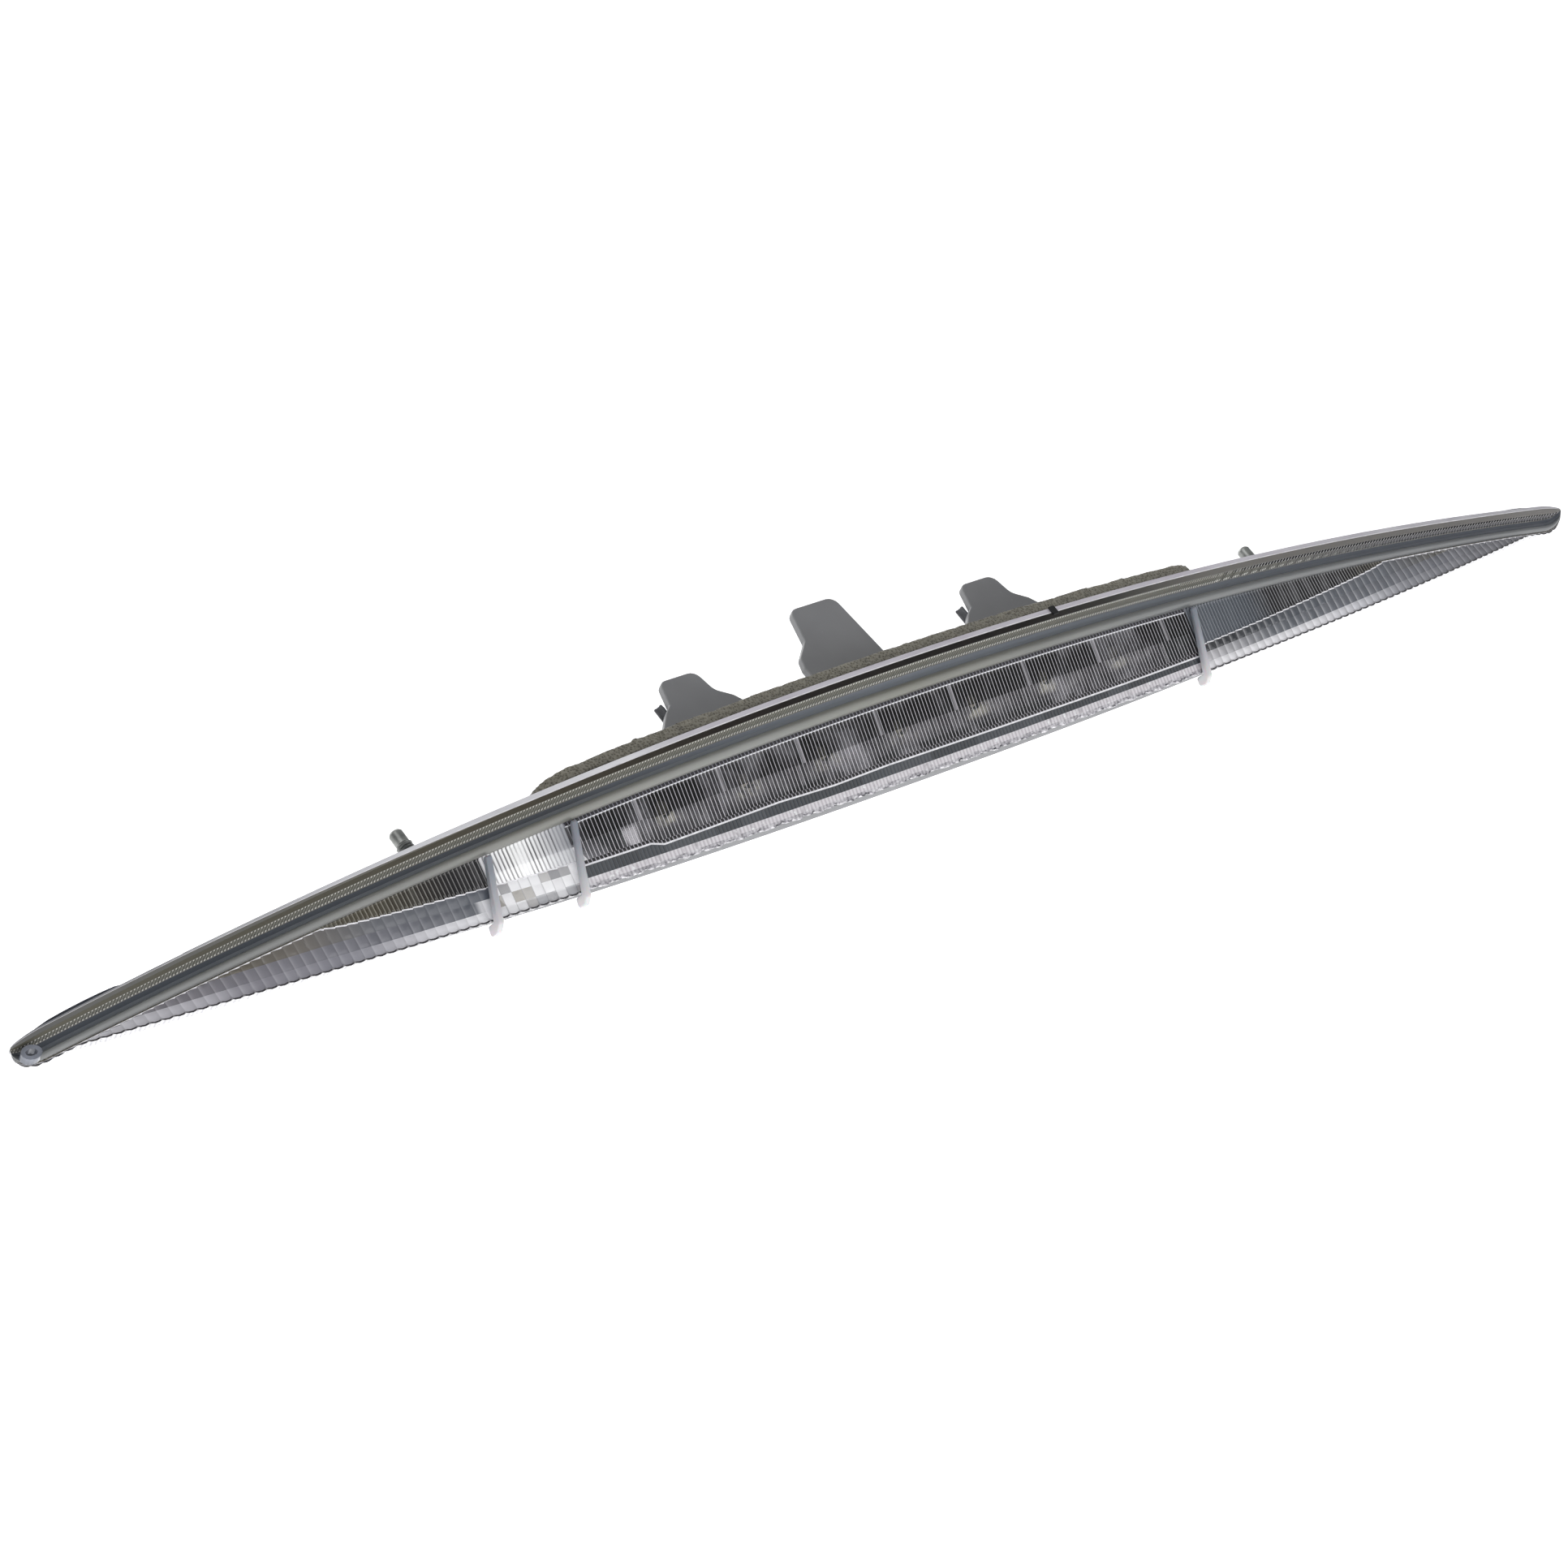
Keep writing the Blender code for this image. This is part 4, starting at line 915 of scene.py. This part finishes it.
def make_stud(side):
    """M6 stud: a head, a cut thread of 1 mm pitch, a neck and a plain dog point with a chamfer."""
    x0 = side * STUD_X
    ye, ze = edge(np.array(x0))
    y0, z0 = float(ye) + STUD_IN, float(ze) + STUD_UP
    tip = 18.1 - STUD_UP
    shoulder, chamfer = tip - 5.5, tip - 0.8       # heights where the dog point and its chamfer start
    head_r, thread_r, thread_depth, dog_r = 5.5, 2.98, 0.62, 2.5
    around, step = 32, 0.125
    heights = [-4.7, -4.7, -4.4, -2.35, -2.3, *np.arange(-2.2, chamfer, step),
               chamfer, tip - 0.35, tip - 0.08, tip, tip]
    verts, faces = [], []
    for i, h in enumerate(heights):
        for j in range(around):
            turn = j / around
            if i in (0, len(heights) - 1):
                r = 0.02
            elif h <= -2.34:
                r = head_r if h > -4.6 else head_r - 0.3
            elif h < shoulder - 0.5:
                ridge = abs(((h - turn) % 1.0) - 0.5) * 2
                fade = min(1.0, (shoulder - 0.5 - h) / 0.8)
                r = thread_r - thread_depth * min(1.0, ridge * 1.35) * fade
            elif h <= shoulder:
                r = thread_r - (h - shoulder + 0.5) * 0.95
            else:
                r = dog_r - (h < shoulder + 0.2) * 0.08 - max(0.0, h - chamfer) * 0.75
            a = 2 * math.pi * turn
            verts.append(row_point(x0 + r * math.cos(a), y0 + r * math.sin(a), z0 + h))
    for i in range(len(heights) - 1):
        for j in range(around):
            k = (j + 1) % around
            faces.append([i * around + j, i * around + k, (i + 1) * around + k, (i + 1) * around + j])
    faces.append(list(reversed(range(around))))
    faces.append([(len(heights) - 1) * around + j for j in range(around)])
    name = "stud_left" if side < 0 else "stud_right"
    stud = mesh_piece(name + "_threaded", verts, faces, [steel_mat], sharp=50)
    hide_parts(name)


def make_foam():
    """The gasket with an open-cell surface."""
    obj = bpy.data.objects.new("gasket_foam", nodes["foam_gasket"].data.copy())
    bpy.context.scene.collection.objects.link(obj)
    remesh = obj.modifiers.new("cells", "REMESH")
    remesh.mode = "VOXEL"
    remesh.voxel_size = FOAM_VOXEL
    dg = bpy.context.evaluated_depsgraph_get()
    mesh = bpy.data.meshes.new_from_object(obj.evaluated_get(dg))
    obj.modifiers.clear()
    obj.data = mesh
    for v in mesh.vertices:
        rough = noise.noise(v.co * 700.0) * 0.5 + 0.5
        pit = max(0.0, noise.noise(v.co * 380.0 + Vector((9, 2, 4))) - 0.15)
        v.co -= v.normal * (FOAM_SKIN + FOAM_GRAIN * rough + FOAM_PITS * pit)
    mesh.materials.clear()
    mesh.materials.append(foam_mat)
    mesh.shade_smooth()
    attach(obj, "root")
    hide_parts("foam_gasket")


def repaint(mat, *names):
    """A better material on CAD nodes whose shape stays."""
    for name in names:
        slots = nodes[name].data.materials
        if not slots:
            slots.append(mat)
        for i in range(len(slots)):
            nodes[name].material_slots[i].link = "OBJECT"
            nodes[name].material_slots[i].material = mat


steel_mat, foam_mat = steel(), foam_paint()
tab_mat, fin_mat, black_mat = grey_plastic(), frosted(), black_plastic()
stop_mat = rubber("stop_rubber", (92, 93, 96))
make_lens()
for side in (-1, 1):
    make_stud(side)
make_foam()
for tab in ("tab_left", "tab_centre", "tab_right"):
    soften(tab, 0.6, tab_mat)
for fin in ("fin_left_outer", "fin_left_inner", "fin_right"):
    soften(fin, 0.85, fin_mat)
for stop in ("stop_left", "stop_right"):
    soften(stop, 0.6, stop_mat, angle=50.0)
soften("connector_socket", 0.35, black_mat, 2)

repaint(housing_grey(), "housing")
repaint(reflector_chrome(), "reflector")
repaint(led_resin(), *[f"led_{i}" for i in range(1, 8)])
repaint(board_green(), "led_board")
repaint(black_mat, "driver_chip", "resistor_left", "resistor_right")
repaint(black_plastic("plug_black", (10, 10, 11)), "index_plug")
repaint(black_plastic("trim_black", (20, 20, 22)), "wing_trim_left", "wing_trim_right")
repaint(plain_steel(), "board_screw_left", "board_screw_right")
repaint(brass(), "terminal_left", "terminal_right")
repaint(rubber("vent_rubber", (60, 60, 62)), "vent_patch")
repaint(sealant_paint(), "lens_seal")
repaint(felt_paint(), "tip_pad_left", "tip_pad_right")
repaint(clear_hook_paint(), "tip_hook")
repaint(fin_mat, "stud_collar_left", "stud_collar_right")


# ---- floor, light and camera --------------------------------------------------------------
def make_floor():
    """Pale floor that curves up into a backdrop far behind."""
    level, back, bend, width = cad_low.z - 0.2, 3.2, 1.2, 9.0
    profile = [(-6.0, level), (-2.0, level), (back - bend, level)]
    profile += [(back - bend + bend * math.sin(a), level + bend - bend * math.cos(a))
                for a in [math.radians(9 * i) for i in range(1, 11)]]
    profile.append((back, level + 5.0))
    verts = [(x, y, z) for x in (-width, width) for y, z in profile]
    n = len(profile)
    faces = [[i, i + n, i + n + 1, i + 1] for i in range(n - 1)]
    mesh = bpy.data.meshes.new("floor")
    mesh.from_pydata(verts, [], faces)
    mesh.shade_smooth()
    p = Paint("studio_white", Roughness=0.9, Emission_Color=(1, 1, 1, 1), Emission_Strength=0.62)
    p.feed(Base_Color=p.ramp(p.noise(1.5, 2.0), [(0.3, (246, 246, 247)), (0.7, (251, 251, 251))]))
    mesh.materials.append(p.mat)
    obj = bpy.data.objects.new("floor", mesh)
    bpy.context.scene.collection.objects.link(obj)


def area_light(name, place, size, power):
    """A soft light that looks at the lamp's middle."""
    data = bpy.data.lights.new(name, "AREA")
    data.shape = "RECTANGLE"
    data.size, data.size_y = size
    data.energy = power
    obj = bpy.data.objects.new(name, data)
    bpy.context.scene.collection.objects.link(obj)
    obj.location = place
    obj.rotation_mode = "QUATERNION"
    obj.rotation_quaternion = (-Vector(place)).to_track_quat("-Z", "Y")


def make_camera():
    """Same place and direction as the photograph's, rolled a little."""
    azimuth, elevation, roll = map(math.radians, (-38.26, 4.56, -15.65))
    place = (-1.00394, -1.1988, 0.0909)
    back = Vector((math.sin(azimuth) * math.cos(elevation), -math.cos(azimuth) * math.cos(elevation),
                   math.sin(elevation)))
    level = Vector((math.cos(azimuth), math.sin(azimuth), 0.0))
    rise = back.cross(level)
    right = level * math.cos(roll) + rise * math.sin(roll)
    up = rise * math.cos(roll) - level * math.sin(roll)
    data = bpy.data.cameras.new("camera")
    data.lens, data.sensor_width = 103.0, 36.0
    data.clip_start, data.clip_end = 0.05, 50.0
    camera = bpy.data.objects.new("camera", data)
    bpy.context.scene.collection.objects.link(camera)
    turn = Matrix((right, up, back)).transposed().to_4x4()
    camera.matrix_world = Matrix.Translation(place) @ turn
    bpy.context.scene.camera = camera


make_floor()
world = bpy.data.worlds.new("studio")
world.use_nodes = True
sky = world.node_tree.nodes["Background"].inputs
sky["Color"].default_value, sky["Strength"].default_value = (0.97, 0.98, 1.0, 1), 0.38
bpy.context.scene.world = world
area_light("key", (-1.2, -1.0, 1.8), (1.6, 1.2), 9.0)
area_light("fill", (0.9, -1.8, 0.5), (1.4, 1.0), 3.5)
area_light("back", (0.2, 2.0, 1.5), (2.0, 0.8), 6.0)
bpy.context.scene.view_settings.view_transform = "Standard"
make_camera()
